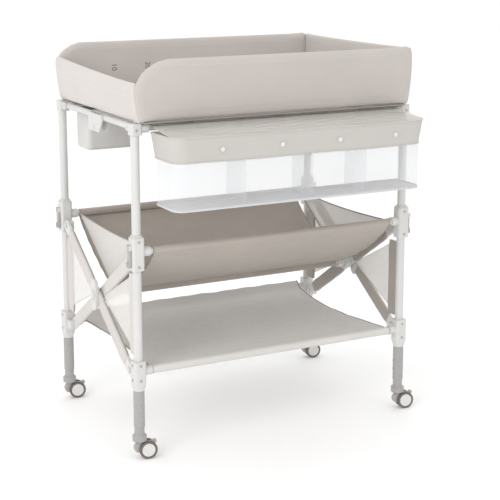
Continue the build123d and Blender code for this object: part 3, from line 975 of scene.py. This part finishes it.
@dataclass
class Castors(Group):
    """Twin wheels with a soft tyre round a pale disc face."""

    radius: float = 23 * MM
    width: float = 9 * MM
    gap: float = 5.4 * MM
    disc_share: float = 0.74

    def build(self) -> None:
        """Makes one pair of wheels and copies it to each castor."""
        twin = self.twin()
        joints = {joint["name"]: joint for joint in frame["joints"]}
        for row in self.plan.rows:
            for name, _ in FLANKS:
                tag = f"{row.name}_{name}"
                joint = joints[f"roll_{tag}"]
                turn = Vector((0, -1, 0)).rotation_difference(Vector(joint["axis"])).to_matrix().to_4x4()
                wheel = copied(twin, Matrix.Translation(Vector(joint["pos_m"])) @ turn)
                wheel.name = wheel.data.name = f"twin_wheel_{tag}"
                fit_out(wheel, f"wheel_{tag}", "tyre", f"wheel_{tag}")
        bpy.data.objects.remove(twin)

    def twin(self) -> Object:
        """Both wheels of a castor and their axle, centred on the origin, turning about Y."""
        rim = self.radius * self.disc_share
        wheels = []
        for _, way in FLANKS:
            wheel = barrel("wheel", (0, way * (self.gap + self.width / 2), 0), self.radius, self.width, "Y", 56)
            stepped(
                wheel, lambda m, n: n.y * way > 0.9,
                (self.radius * (1 - self.disc_share) - 0.8 * MM, 0.0), (0.8 * MM, -0.9 * MM),
                (0.7 * MM, 1.1 * MM), (self.radius * 0.4, 0.5 * MM), (0.5 * MM, -0.5 * MM),
            )

            def outer(m: Vector, d: Vector) -> bool:
                """Whether an edge goes round the tread."""
                return abs(hypot(m.x, m.z) - self.radius) < 0.4 * MM and abs(d.y) < 0.1

            round_edges(wheel, outer, 2.2 * MM, 4)
            dress(wheel, self.palette.tyre)
            wheel.data.materials.append(self.palette.disc)
            for p in wheel.data.polygons:
                r = max(hypot(wheel.data.vertices[i].co.x, wheel.data.vertices[i].co.z) for i in p.vertices)
                p.material_index = 1 if r < rim + 0.1 * MM and p.normal.y * way > -0.2 else 0
            wheels.append(shade(wheel, 35))
        axle = soften(barrel("axle", (0, 0, 0), 2.9 * MM, 2 * self.gap, "Y", 24), 0.3 * MM)
        return joined("twin_wheel", [*wheels, dress(axle, self.palette.disc)])


# ---- cloth on the frame -----------------------------------------------------------------------------------------


@dataclass
class Basket(Group):
    """A sling basket: a front and a back panel that meet on the cross tube, and two net ends."""

    half: float = 344 * MM
    wrap: float = 9.6 * MM
    wrap_share: float = 0.16
    wrap_from: float = -0.3 * pi
    wrap_to: float = 1.42 * pi
    sag: float = 9 * MM
    sleeve_half: float = 330 * MM
    sleeve_r: float = 10.2 * MM
    sleeve_turn: float = 1.56 * pi

    def build(self) -> None:
        """Makes the panels, the sleeve on the cross tube and the ends."""
        for row in self.plan.rows:
            self.panel(row)
        self.sleeve()
        for name, side in FLANKS:
            self.net_end(name, side)

    def profile(self, share: float, row: Row) -> tuple[float, float]:
        """A panel's section, from inside the rail, over it and down to the hem.

        Args:
            share: From 0 at the hidden edge to 1 at the hem.
            row: The legs that carry the panel.

        Returns:
            Y and Z.
        """
        plan = self.plan
        angle = self.wrap_from + min(1.0, share / self.wrap_share) * (self.wrap_to - self.wrap_from)
        y, z = row.off(self.wrap * cos(angle)), plan.mid_rail_z + self.wrap * sin(angle)
        if share < self.wrap_share:
            return y, z
        hem_y, hem_z = plan.mid_y - row.inward * 11 * MM, plan.hub_z + 8 * MM
        t = (share - self.wrap_share) / (1 - self.wrap_share)
        return y + (hem_y - y) * t**1.18, z + (hem_z - z) * t - self.sag * sin(pi * t) * 1.2

    def panel(self, row: Row) -> None:
        """The long side of the basket beside one pair of legs."""
        plan = self.plan

        def place(u: float, v: float) -> Point:
            """One point of the panel."""
            y, z = self.profile(v, row)
            fall = sin(pi * share_of(v, self.wrap_share, 1.0))
            loose = 2.2 * MM * wave(u * 1.7, v * 1.3, 2.0 + row.inward) * fall**0.7 + 5 * MM * sin(pi * u) * fall
            return (plan.along(u, self.half - 3 * MM * sin(pi * v)), y - row.inward * loose * 0.55, z - loose * 0.8)

        cloth = sheet_grid(f"basket_panel_{row.name}", 72, 36, place)
        section = [self.profile(k / 200, row) for k in range(201)]
        length = sum(hypot(b[0] - a[0], b[1] - a[1]) for a, b in zip(section, section[1:]))
        trims = [rim_welt("hem", cloth, 1.5 * MM, lambda p: abs(p.x - plan.mid_x) > self.half - 4 * MM)]
        for share, radius in ((0.21, 0.6 * MM), (0.965, 0.9 * MM)):
            trims.append(self.stitch_line(place, share, radius))
        dress(thick(cloth, 1.2 * MM), self.palette.sling)
        trim = dress(joined(f"basket_panel_trim_{row.name}", trims), self.palette.taupe)
        label(cloth, "taupe_fabric", f"basket_{row.name}")
        label(trim, "taupe_fabric")
        start = (plan.mid_x, row.off(46 * MM), plan.mid_rail_z - 26 * MM)
        stop = (plan.mid_x, row.off(12 * MM), plan.mid_rail_z - 8 * MM)
        for piece in (cloth, trim):
            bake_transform(piece)

    def stitch_line(self, place: Callable[[float, float], Point], share: float, radius: float) -> Object:
        """A row of stitching across a panel.

        Args:
            place: The panel's own shape.
            share: How far down the panel it is.
            radius: The thread's radius.

        Returns:
            The row.
        """
        strip = sheet_grid("strip", 72, 1, lambda u, v: place(u, share + v * 0.002))
        ends = [v.co.copy() for v in strip.data.vertices[:73]]
        wanted = {tuple((a + b) / 2) for a, b in zip(ends, ends[1:])}
        row = welt("row", strip, lambda m: tuple(m) in wanted, radius)
        bpy.data.objects.remove(strip)
        return row

    def sleeve(self) -> None:
        """The cloth sleeve on the cross tube that both panels are sewn to."""
        plan = self.plan

        def place(u: float, v: float) -> Point:
            """One point of the sleeve."""
            angle = pi / 2 + (v - 0.5) * self.sleeve_turn
            r = self.sleeve_r + 0.5 * MM * wave(u * 3, v, 5.0)
            return (plan.along(u, self.sleeve_half), plan.mid_y + r * cos(angle), plan.hub_z + r * sin(angle))

        cloth = dress(thick(sheet_grid("basket_sleeve", 60, 24, place), 1.0 * MM), self.palette.sling)
        fit_out(cloth, "arms_a", "taupe_fabric")

    def net_end(self, name: str, side: int) -> None:
        """A triangular net end with a bound edge.

        Args:
            name: Left or right.
            side: -1 or 1.
        """
        plan = self.plan
        x = plan.mid_x + side * (self.half + 3 * MM)
        top, bottom = plan.mid_rail_z + 2 * MM, plan.hub_z + 20 * MM
        near, far = plan.front.off(12 * MM), plan.back.off(12 * MM)

        def place(u: float, v: float) -> Point:
            """One point of the net."""
            left = near + (plan.mid_y - 12 * MM - near) * v
            right = far + (plan.mid_y + 12 * MM - far) * v
            bulge = 5.0 * MM * wave(u, v, 3.0 + side) * sin(pi * u) * sin(pi * v)
            z = top + (bottom - top) * v - 8 * MM * sin(pi * u) * (1 - v)
            return (x + bulge * side * 0.5, left + (right - left) * u, z)

        cloth = sheet_grid(f"basket_net_{name}", 40, 20, place)
        trim = dress(rim_welt(f"basket_net_binding_{name}", cloth, 1.8 * MM), self.palette.taupe)
        dress(thick(cloth, 0.8 * MM), self.palette.net)
        label(cloth, "mesh_fabric", *(("basket_ends",) if side < 0 else ()))
        label(trim, "taupe_fabric")
        start, stop = (x, plan.mid_y - 90 * MM, plan.hub_z), (x, plan.mid_y + 90 * MM, plan.hub_z)
        for piece in (cloth, trim):
            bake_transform(piece)
            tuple(start)
            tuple(stop)


@dataclass
class Shelf(Group):
    """The lower shelf: cloth between the low rails, with a band over each rail and hollowed, bound ends."""

    half: float = 350 * MM
    left_hollow: float = 12 * MM
    right_hollow: float = 34 * MM
    upstand: float = 17 * MM
    sag: float = 7 * MM
    wrap: float = 9.4 * MM
    wrap_turn: float = 1.25 * pi
    keep: float = 0.307

    def build(self) -> None:
        """Makes the deck, its binding and the two rail bands."""
        plan = self.plan
        near, far = plan.front.y, plan.back.y

        def place(u: float, v: float) -> Point:
            """One point of the deck."""
            bow = sin(pi * v)
            hollow = self.left_hollow if u < 0.5 else self.right_hollow
            half = self.half - hollow * bow**1.2 * min(1.0, abs(2 * u - 1) * 4)
            z = plan.low_rail_z + 4 * MM - self.sag * bow * sin(pi * u) + 1.4 * MM * wave(u * 1.4, v, 7.0) * bow
            z += self.upstand * max(0.0, (v - 0.93) / 0.07) ** 1.5 * (1 + 0.15 * wave(u, 0.2, 3.0))
            return (plan.along(u, half), near + (far - near) * v, z)

        deck = sheet_grid("shelf_deck", 70, 50, place)
        ends = rim_welt("shelf_binding", deck, 2.0 * MM, lambda p: near + 2 * MM < p.y < far - 2 * MM)
        area = sum(p.area for p in deck.data.polygons)
        dress(thick(deck, 1.2 * MM), self.palette.deck)
        dress(ends, self.palette.taupe)
        size = (2 * self.half, far - near + 4 * MM)
        area = min(area, size[0] * size[1])
        fit_out(deck, "front_frame", "taupe_fabric", "shelf")
        fit_out(ends, "front_frame", "taupe_fabric")
        gathers((deck, ends), near, self.keep)
        for row in plan.rows:
            self.rail_band(row)

    def rail_band(self, row: Row) -> None:
        """The cloth that wraps a low rail."""
        plan = self.plan

        def place(u: float, v: float) -> Point:
            """One point of the band."""
            angle = 0.42 * pi + v * self.wrap_turn
            r = self.wrap + 0.5 * MM * wave(u * 4, v, 1.0 + row.inward)
            z = plan.low_rail_z + r * sin(angle) - max(0.0, v - 0.7) * 10 * MM
            return (plan.along(u, self.half - 2 * MM), row.off(r * cos(angle)), z)

        band = sheet_grid(f"shelf_rail_band_{row.name}", 60, 20, place)
        dress(thick(band, 1.1 * MM), self.palette.deck)
        fit_out(band, row.frame, "taupe_fabric")


@dataclass
class ScissorCovers(Group):
    """Cloth on the scissor ends: covers on the arms' inner faces, strips beside the legs and net gussets."""

    width: float = 35 * MM
    end_gap: float = 30 * MM
    hub_gap: float = 33 * MM
    outer_layer: tuple[float, float] = (0.3 * MM, 12.6 * MM)
    inner_layer: tuple[float, float] = (-12.6 * MM, -0.3 * MM)
    strip_layer: tuple[float, float] = (-6 * MM, 2.5 * MM)
    strip_low: float = 262 * MM
    strip_high: float = 468 * MM
    strip_wide: float = 37 * MM
    strip_keep: float = 0.30
    net_keep: float = 0.07
    net_tall: float = 192 * MM

    def build(self) -> None:
        """Makes the covers, strips and gussets."""
        front, back = self.plan.rows
        for name, side in FLANKS:
            self.arm_cover("a", name, side, front, back, self.outer_layer)
            self.arm_cover("b", name, side, back, front, self.inner_layer)
        for row in (front, back):
            for name, side in FLANKS:
                self.leg_strip(row, name, side)
            for name, side in FLANKS:
                self.gusset(row, name, side)

    def bar(self, name: str, layer: tuple[float, float], long: float, wide: float, side: int, seed: float) -> Object:
        """A soft flat bar with full edges, its length along Y, pale outside with painted light and dark inside,
        partly its own taupe and partly painted shade.

        Args:
            name: The bar's name.
            layer: How far outboard of the legs' axis its inner and outer faces are.
            long: Its length.
            wide: Its width.
            side: -1 or 1.
            seed: Changes its creases.

        Returns:
            The bar, from Y 0, across Z 0.
        """
        a, b = sorted(self.plan.x(side, w) for w in layer)
        middle = (a + b) / 2
        shape = brick(name, (a, 0, -wide / 2), (b, long, wide / 2))
        round_edges(shape, lambda m, d: abs(d.y) > 0.9, min((b - a) * 0.42, 5 * MM), 5)
        modify(shape, "SUBSURF", levels=4, render_levels=4, subdivision_type="SIMPLE")
        for v in shape.data.vertices:
            end = min(v.co.y, long - v.co.y)
            tuck = 1 - 0.16 * exp(-end / (7 * MM))
            v.co.z *= tuck * (1 + 0.035 * wave(v.co.y * 2.2, v.co.x * 3, seed))
            v.co.x = middle + (v.co.x - middle) * (tuck if end < 20 * MM else 1.0)
        dress(shade(shape, 60), self.palette.strip)
        # Outer faces get the lighter tray cloth as painted light. Inner faces keep the dark cloth, which is partly
        # painted shade.
        shape.data.materials.append(self.palette.tray_end)
        for p in shape.data.polygons:
            p.material_index = 1 if (p.center.x - middle) * side > 0 else 0
        return shape

    def arm_cover(self, arm: str, name: str, side: int, foot: Row, head: Row, layer: tuple[float, float]) -> None:
        """The two soft covers on one arm, below and above its hub.

        Args:
            arm: The arm's letter, a or b.
            name: Left or right.
            side: -1 or 1.
            foot: The legs at the arm's low end.
            head: The legs at its high end.
            layer: How far outboard of the legs' axis their faces are.
        """
        plan = self.plan
        a = Vector((foot.off(plan.pivot_in), plan.low_pivot_z))
        b = Vector((head.off(plan.pivot_in), plan.high_pivot_z))
        run, whole = (b - a).normalized(), (b - a).length
        across = Vector((-run.y, run.x))
        parts = []
        half = whole / 2
        for start, stop in ((self.end_gap, half - self.hub_gap), (half + self.hub_gap, whole - self.end_gap)):
            part = self.bar("cover", layer, stop - start, self.width, side, start * 40 + side)
            for v in part.data.vertices:
                v.co = (v.co.x, *(a + run * (start + v.co.y) + across * v.co.z))
            parts.append(part)
        cover = outward(joined(f"arm_cover_{arm}_{name}", parts))
        fit_out(cover, f"arms_{arm}", "taupe_fabric")

    def leg_strip(self, row: Row, name: str, side: int) -> None:
        """A soft strip beside a lower leg, pale outside with painted light and dark inside, partly its own taupe and
        partly painted shade.

        Args:
            row: The leg's pair.
            name: Left or right.
            side: -1 or 1.
        """
        low, wide = self.strip_low, self.strip_wide
        title = f"leg_strip_{row.name}_{name}"
        strip = self.bar(title, self.strip_layer, self.strip_high - low, wide, side, row.y * 9)
        for v in strip.data.vertices:
            v.co = (v.co.x, row.off(self.plan.leg_r + 1 * MM + wide / 2 + v.co.z), low + v.co.y)
        outward(strip)
        fit_out(strip, row.frame, "taupe_fabric")
        gathers([strip], row.y, self.strip_keep)

    def gusset(self, row: Row, name: str, side: int) -> None:
        """A triangular net between a leg and the arms.

        Args:
            row: The leg's pair.
            name: Left or right.
            side: -1 or 1.
        """
        plan = self.plan
        near = row.off(plan.leg_r + 18 * MM)
        tip = plan.mid_y - row.inward * 34 * MM

        def place(u: float, v: float) -> Point:
            """One point of the net."""
            half = self.net_tall / 2 * (1 - v) + 5 * MM * v
            z = plan.hub_z + 6 * MM * (1 - v) + (u - 0.5) * 2 * half
            return (plan.x(side, -0.4 * MM), near + (tip - near) * v, z)

        net = sheet_grid(f"gusset_{row.name}_{name}", 24, 24, place)
        trim = dress(rim_welt(f"gusset_binding_{row.name}_{name}", net, 0.8 * MM), self.palette.welt)
        dress(thick(net, 0.6 * MM), self.palette.net)
        fit_out(net, row.frame, "mesh_fabric", *((f"gussets_{row.name}",) if side < 0 else ()))
        fit_out(trim, row.frame, "mesh_fabric")
        gathers((net, trim), row.y, self.net_keep)


# ---- organiser ---------------------------------------------------------------------------------------------------


@dataclass
class Organiser(Group):
    """The organiser on the front rail: a cloth band with snaps, clear walls, a board base and a milky cover."""

    body: str = "front_frame"
    half: float = 355 * MM
    offset: float = 5 * MM
    depth: float = 132 * MM
    gap: float = 16 * MM
    corner: float = 36 * MM
    rim_z: float = 822 * MM
    rim_tall: float = 60 * MM
    lean: float = 7.3 * MM
    base_z: float = 645 * MM
    cover_rise: float = 15 * MM
    zip_share: float = 0.62
    snap_share: float = 0.52
    snaps: tuple[float, ...] = (-228 * MM, -67 * MM, 95 * MM, 258 * MM)
    dividers: tuple[float, ...] = (-160 * MM, 25 * MM, 180 * MM)
    loops: tuple[float, ...] = (-250 * MM, 0.0, 250 * MM)

    def build(self) -> None:
        """Makes the band, pocket, dividers, base, cover, zip, snaps and straps."""
        self.band()
        self.pocket()
        self.base()
        self.cover()
        self.snap_row()
        self.straps()

    @property
    def mid_x(self) -> float:
        """The X of its middle."""
        return self.plan.mid_x + self.offset

    @property
    def back(self) -> float:
        """The Y of its back."""
        return self.plan.front.y - self.gap

    @property
    def middle(self) -> float:
        """The Y of its middle."""
        return self.back - self.depth / 2

    def outline(self, name: str, inset: float, z: float) -> Object:
        """Its plan as one face, the front corners rounded.

        Args:
            name: The face's name.
            inset: How far in from the outermost edge it is.
            z: Its height.

        Returns:
            The face.
        """
        deselect_all()
        bpy.ops.mesh.primitive_plane_add(size=1, location=(self.mid_x, self.middle, z))
        bpy.context.object.scale = (2 * (self.half - inset), self.depth - 2 * inset, 1)
        face = named(bpy.context.object, name)
        pick(face, Pick.POINTS, lambda p, n: p.y < self.middle)
        bpy.ops.mesh.bevel(offset=max(self.corner - inset, 8 * MM), segments=9, affect="VERTICES")
        return close_edit(face)

    def skin(self, name: str, inset: float, z: float, drop: float, lean: float, steps: int = 6) -> Object:
        """An upright wall along the outline, one layer thick.

        Args:
            name: The wall's name.
            inset: How far in its top edge is.
            z: Its top edge's height.
            drop: How far down it goes.
            lean: How far in it goes on the way down.
            steps: How many faces it has from top to bottom.

        Returns:
            The wall.
        """
        wall = pick(self.outline(name, inset, z), Pick.FACES, lambda m, n: True)
        bpy.ops.mesh.delete(type="ONLY_FACE")
        pick(close_edit(wall), Pick.EDGES, lambda m, d: True)
        bpy.ops.mesh.subdivide(number_cuts=1)
        pick(close_edit(wall), Pick.EDGES, lambda m, d: d.length > 0.5)
        wide, deep = 2 * (self.half - inset), self.depth - 2 * inset
        for step in range(steps):
            bpy.ops.mesh.extrude_edges_move(TRANSFORM_OT_translate={"value": (0, 0, -drop / steps)})
            was, now = 2 * lean * step / steps, 2 * lean * (step + 1) / steps
            share = ((wide - now) / (wide - was), (deep - now) / (deep - was), 1)
            bpy.ops.transform.resize(value=share, center_override=(self.mid_x, self.middle, z))
        close_edit(wall)
        for _ in range(2):
            pick(wall, Pick.EDGES, lambda m, d: abs(d.x) > 0.9)
            bpy.ops.mesh.subdivide(number_cuts=4)
            close_edit(wall)
        return outward(wall)

    def band(self) -> None:
        """The cloth band and the bindings along its edges."""
        band = self.skin("organiser_band", 0.0, self.rim_z, self.rim_tall, self.lean)
        foot = self.rim_z - self.rim_tall
        for v in band.data.vertices:
            share = (self.rim_z - v.co.z) / self.rim_tall
            v.co.y -= 1.4 * MM * wave(v.co.x * 1.2, share, 3.0) * sin(pi * min(max(share, 0.0), 1.0))
            v.co.z += 0.9 * MM * sin(v.co.x * 19 + 1.0) * (1 if v.co.y < self.middle else 0)
        trims = [
            rim_welt("upper", band, 1.9 * MM, lambda p: p.z > self.rim_z - 4 * MM),
            rim_welt("lower", band, 1.7 * MM, lambda p: p.z < foot + 4 * MM),
        ]
        dress(thick(band, 1.6 * MM, 60, -1.0), self.palette.band)
        trim = dress(joined("organiser_band_binding", trims), self.palette.band)
        fit_out(band, self.body, "organiser_fabric", "organiser_rim")
        fit_out(trim, self.body, "organiser_fabric")

    def pocket(self) -> None:
        """The clear walls below the band, the seams at their foot and the dividers inside."""
        top, foot = self.rim_z - self.rim_tall, self.base_z + 5.4 * MM
        inset = self.lean + 3.4 * MM
        wall = self.skin("organiser_pocket_film", inset, top, top - foot, 0.0)
        for v in wall.data.vertices:
            share = (top - v.co.z) / (top - foot)
            if v.co.y < self.middle:
                bow = sin(pi * min(max(share, 0.0), 1.0))
                v.co.y -= (1.6 * MM + 1.2 * MM * wave(v.co.x, share, 8.0)) * bow
        seam = rim_welt("organiser_pocket_seam", wall, 1.3 * MM, lambda p: p.z < foot + 2 * MM)
        dress(thick(wall, 0.5 * MM, 60), self.palette.film)
        dress(seam, self.palette.board)
        fit_out(wall, self.body, "clear_film", "organiser_pocket")
        fit_out(seam, self.body, "grey_plastic")
        low, high = self.middle - self.depth / 2 + inset + 4 * MM, self.middle + self.depth / 2 - inset - 3 * MM

        def place(x: float, u: float, v: float) -> Point:
            """One point of the divider at that X."""
            return (self.mid_x + x + 2.5 * MM * wave(u, v, x * 90), low + (high - low) * u, foot + (top - foot) * v)

        parts = [sheet_grid("divider", 10, 12, lambda u, v: place(x, u, v)) for x in self.dividers]
        walls = joined("organiser_dividers", [thick(part, 0.6 * MM, 60) for part in parts])
        fit_out(dress(walls, self.palette.film), self.body, "clear_film")

    def base(self) -> None:
        """The board at the bottom, with a rounded edge."""
        board = self.outline("organiser_board", self.lean + 1.4 * MM, self.base_z + 0.3 * MM)
        soften(modify(board, "SOLIDIFY", thickness=4.6 * MM, offset=1.0), 1.5 * MM, 3)
        fit_out(dress(board, self.palette.board), self.body, "grey_plastic", "organiser_base")

    def cover(self) -> None:
        """The milky cover with its zip."""
        front, back, r = self.middle - self.depth / 2, self.back + 4 * MM, self.corner
        edge = 1.5 * MM

        def place(u: float, v: float) -> Point:
            """One point of the cover."""
            y = front + edge + (back - front - edge) * v
            down = max(0.0, front + r - y)
            half = self.half - edge - (r - max(r * r - down * down, 0.0) ** 0.5)
            dome = 2.4 * MM * sin(pi * u) ** 0.4 * sin(pi * min(1.0, v + 0.12))
            dip = 2.2 * MM * wave(u * 1.3, v, 9.0) * sin(pi * u) * sin(pi * v)
            z = self.rim_z + 0.6 * MM + dome + dip * 0.5 + self.cover_rise * v**1.4
            return (self.mid_x + (u - 0.5) * 2 * half, y, z)

        def run(u: float, v: float, half: float) -> Point:
            """One point of a strip that far to each side of the zip's line, just above the cover."""
            x, y, z = place(0.02 + 0.96 * u, self.zip_share + (2 * v - 1) * half)
            return (x, y, z + 0.4 * MM)

        film = dress(thick(sheet_grid("organiser_cover_film", 80, 28, place), 0.6 * MM), self.palette.cover)
        fit_out(film, self.body, "clear_film", "organiser_cover")
        tape = sheet_grid("tape", 80, 2, lambda u, v: run(u, v, 0.05))
        modify(tape, "SOLIDIFY", thickness=0.8 * MM, offset=1.0)
        coil = sheet_grid("coil", 80, 1, lambda u, v: run(u, v, 0.008))
        soften(modify(coil, "SOLIDIFY", thickness=2.0 * MM, offset=1.0), 0.5 * MM)
        parts = [dress(tape, self.palette.band), dress(coil, self.palette.strip)]
        fit_out(joined("organiser_zip", parts), self.body, "organiser_fabric")
        x, y, z = place(0.93, self.zip_share)
        low, high = (x - 9 * MM, y - 2 * MM, z + 1.4 * MM), (x + 9 * MM, y + 2 * MM, z + 3.4 * MM)
        pull = soften(brick("organiser_zip_pull", low, high), 0.8 * MM)
        fit_out(dress(pull, self.palette.grey), self.body, "grey_plastic")

    def snap_row(self) -> None:
        """White snaps along the band's front."""
        button = barrel("snap", (0, 0, 0.6 * MM), 6.2 * MM, 1.6 * MM, "Z", 32)
        soften(stepped(button, lambda m, n: n.z > 0.9, (1.6 * MM, 0.5 * MM), (1.4 * MM, -0.4 * MM)), 0.4 * MM)
        y = self.middle - self.depth / 2 + self.lean * self.snap_share - 1.2 * MM
        z = self.rim_z - self.rim_tall * self.snap_share
        tilt = Matrix.Rotation(pi / 2 + radians(7), 4, "X")
        places = [Matrix.Translation((self.mid_x + x, y, z)) @ tilt for x in self.snaps]
        snaps = dress(scattered("organiser_snaps", button, places), self.palette.snap)
        fit_out(snaps, self.body, "organiser_fabric")

    def straps(self) -> None:
        """Webbing loops that hang the organiser on the front rail."""
        plan = self.plan
        r = plan.rail_r + 1.4 * MM

        def place(centre: float, u: float, v: float) -> Point:
            """One point of the loop at that centre: up behind the band, then round the rail."""
            x = self.mid_x + centre + (u - 0.5) * 28 * MM
            if v < 0.3:
                return (x, plan.front.y - r, plan.top_rail_z - (0.3 - v) / 0.3 * 34 * MM)
            angle = pi - (v - 0.3) / 0.7 * 1.5 * pi
            return (x, plan.front.y + r * cos(angle), plan.top_rail_z + r * sin(angle))

        parts = [sheet_grid("strap", 6, 30, lambda u, v: place(centre, u, v)) for centre in self.loops]
        straps = joined("organiser_straps", [thick(part, 1.4 * MM, 60) for part in parts])
        fit_out(dress(straps, self.palette.band), self.body, "organiser_fabric")


# ---- studio -------------------------------------------------------------------------------------------------------


@dataclass
class Studio:
    """A pale floor, soft light from the left and the camera."""

    azimuth: float = -27.8
    elevation: float = 11.1
    distance: float = 3.568
    lens: float = 95.92
    shift: float = -0.12
    aim: Point = (0.017, 0.0, 0.612)
    light_aim: Point = (0.0, 0.0, 0.55)

    def build(self) -> None:
        """Makes the floor, the lights and the camera."""
        self.floor()
        self.lights()
        self.camera()

    def floor(self) -> None:
        """A wide pale floor."""
        deselect_all()
        bpy.ops.mesh.primitive_plane_add(size=60, location=(0, 0, -0.4 * MM))
        ground = named(bpy.context.object, "studio_floor")
        r = Recipe("studio_floor_paint")
        colour, rough = r.tint(r.noise(0.6, 2.0), (0.97, 0.97, 0.97), 0.955 / 0.97), r.span(r.noise(2.0), 0.55, 0.65)
        dress(ground, r.finish(colour, rough, r.relief(r.noise(40.0), 0.0001), Emission_Strength=0.05))

    def lights(self) -> None:
        """A white surround, a wide key light from the left and two fills."""
        scene = bpy.context.scene
        scene.view_settings.view_transform = "Standard"
        scene.world = bpy.data.worlds.new("studio")
        scene.world.use_nodes = True
        surround = scene.world.node_tree.nodes["Background"].inputs
        surround["Color"].default_value, surround["Strength"].default_value = (1.0, 1.0, 1.0, 1.0), 1.0
        for name, at, size, power in (
            ("key", (-3.4, -2.0, 2.2), 2.0, 48.0),
            ("front", (1.2, -4.2, 2.4), 3.0, 8.0),
            ("top", (0.3, 0.4, 4.2), 3.4, 14.0),
        ):
            deselect_all()
            bpy.ops.object.light_add(type="AREA", location=at)
            lamp = bpy.context.object
            lamp.name = f"{name}_light"
            lamp.data.energy, lamp.data.size = power, size
            lamp.rotation_euler = (Vector(self.light_aim) - Vector(at)).to_track_quat("-Z", "Y").to_euler()

    def camera(self) -> None:
        """The camera, from the front left and a little above."""
        a, e = radians(self.azimuth), radians(self.elevation)
        back = Vector((sin(a) * cos(e), -cos(a) * cos(e), sin(e)))
        deselect_all()
        bpy.ops.object.camera_add(location=Vector(self.aim) + back * self.distance)
        camera = bpy.context.object
        camera.name = "camera"
        camera.rotation_euler = (-back).to_track_quat("-Z", "Y").to_euler()
        camera.data.lens, camera.data.sensor_width, camera.data.shift_y = self.lens, 36.0, self.shift
        bpy.context.scene.camera = camera


def main() -> None:
    """Builds the table's looks and its studio."""
    logging.basicConfig(level=logging.INFO, format="%(name)s %(message)s")
    plan = Plan.read()
    palette = Palette()
    for kind in (Hardware, Castors, Tray, Basket, Shelf, ScissorCovers, Organiser):
        kind(plan, palette).build()
        log.info("%s is built", kind.__name__)
    Studio().build()


if __name__ == "__main__":
    main()
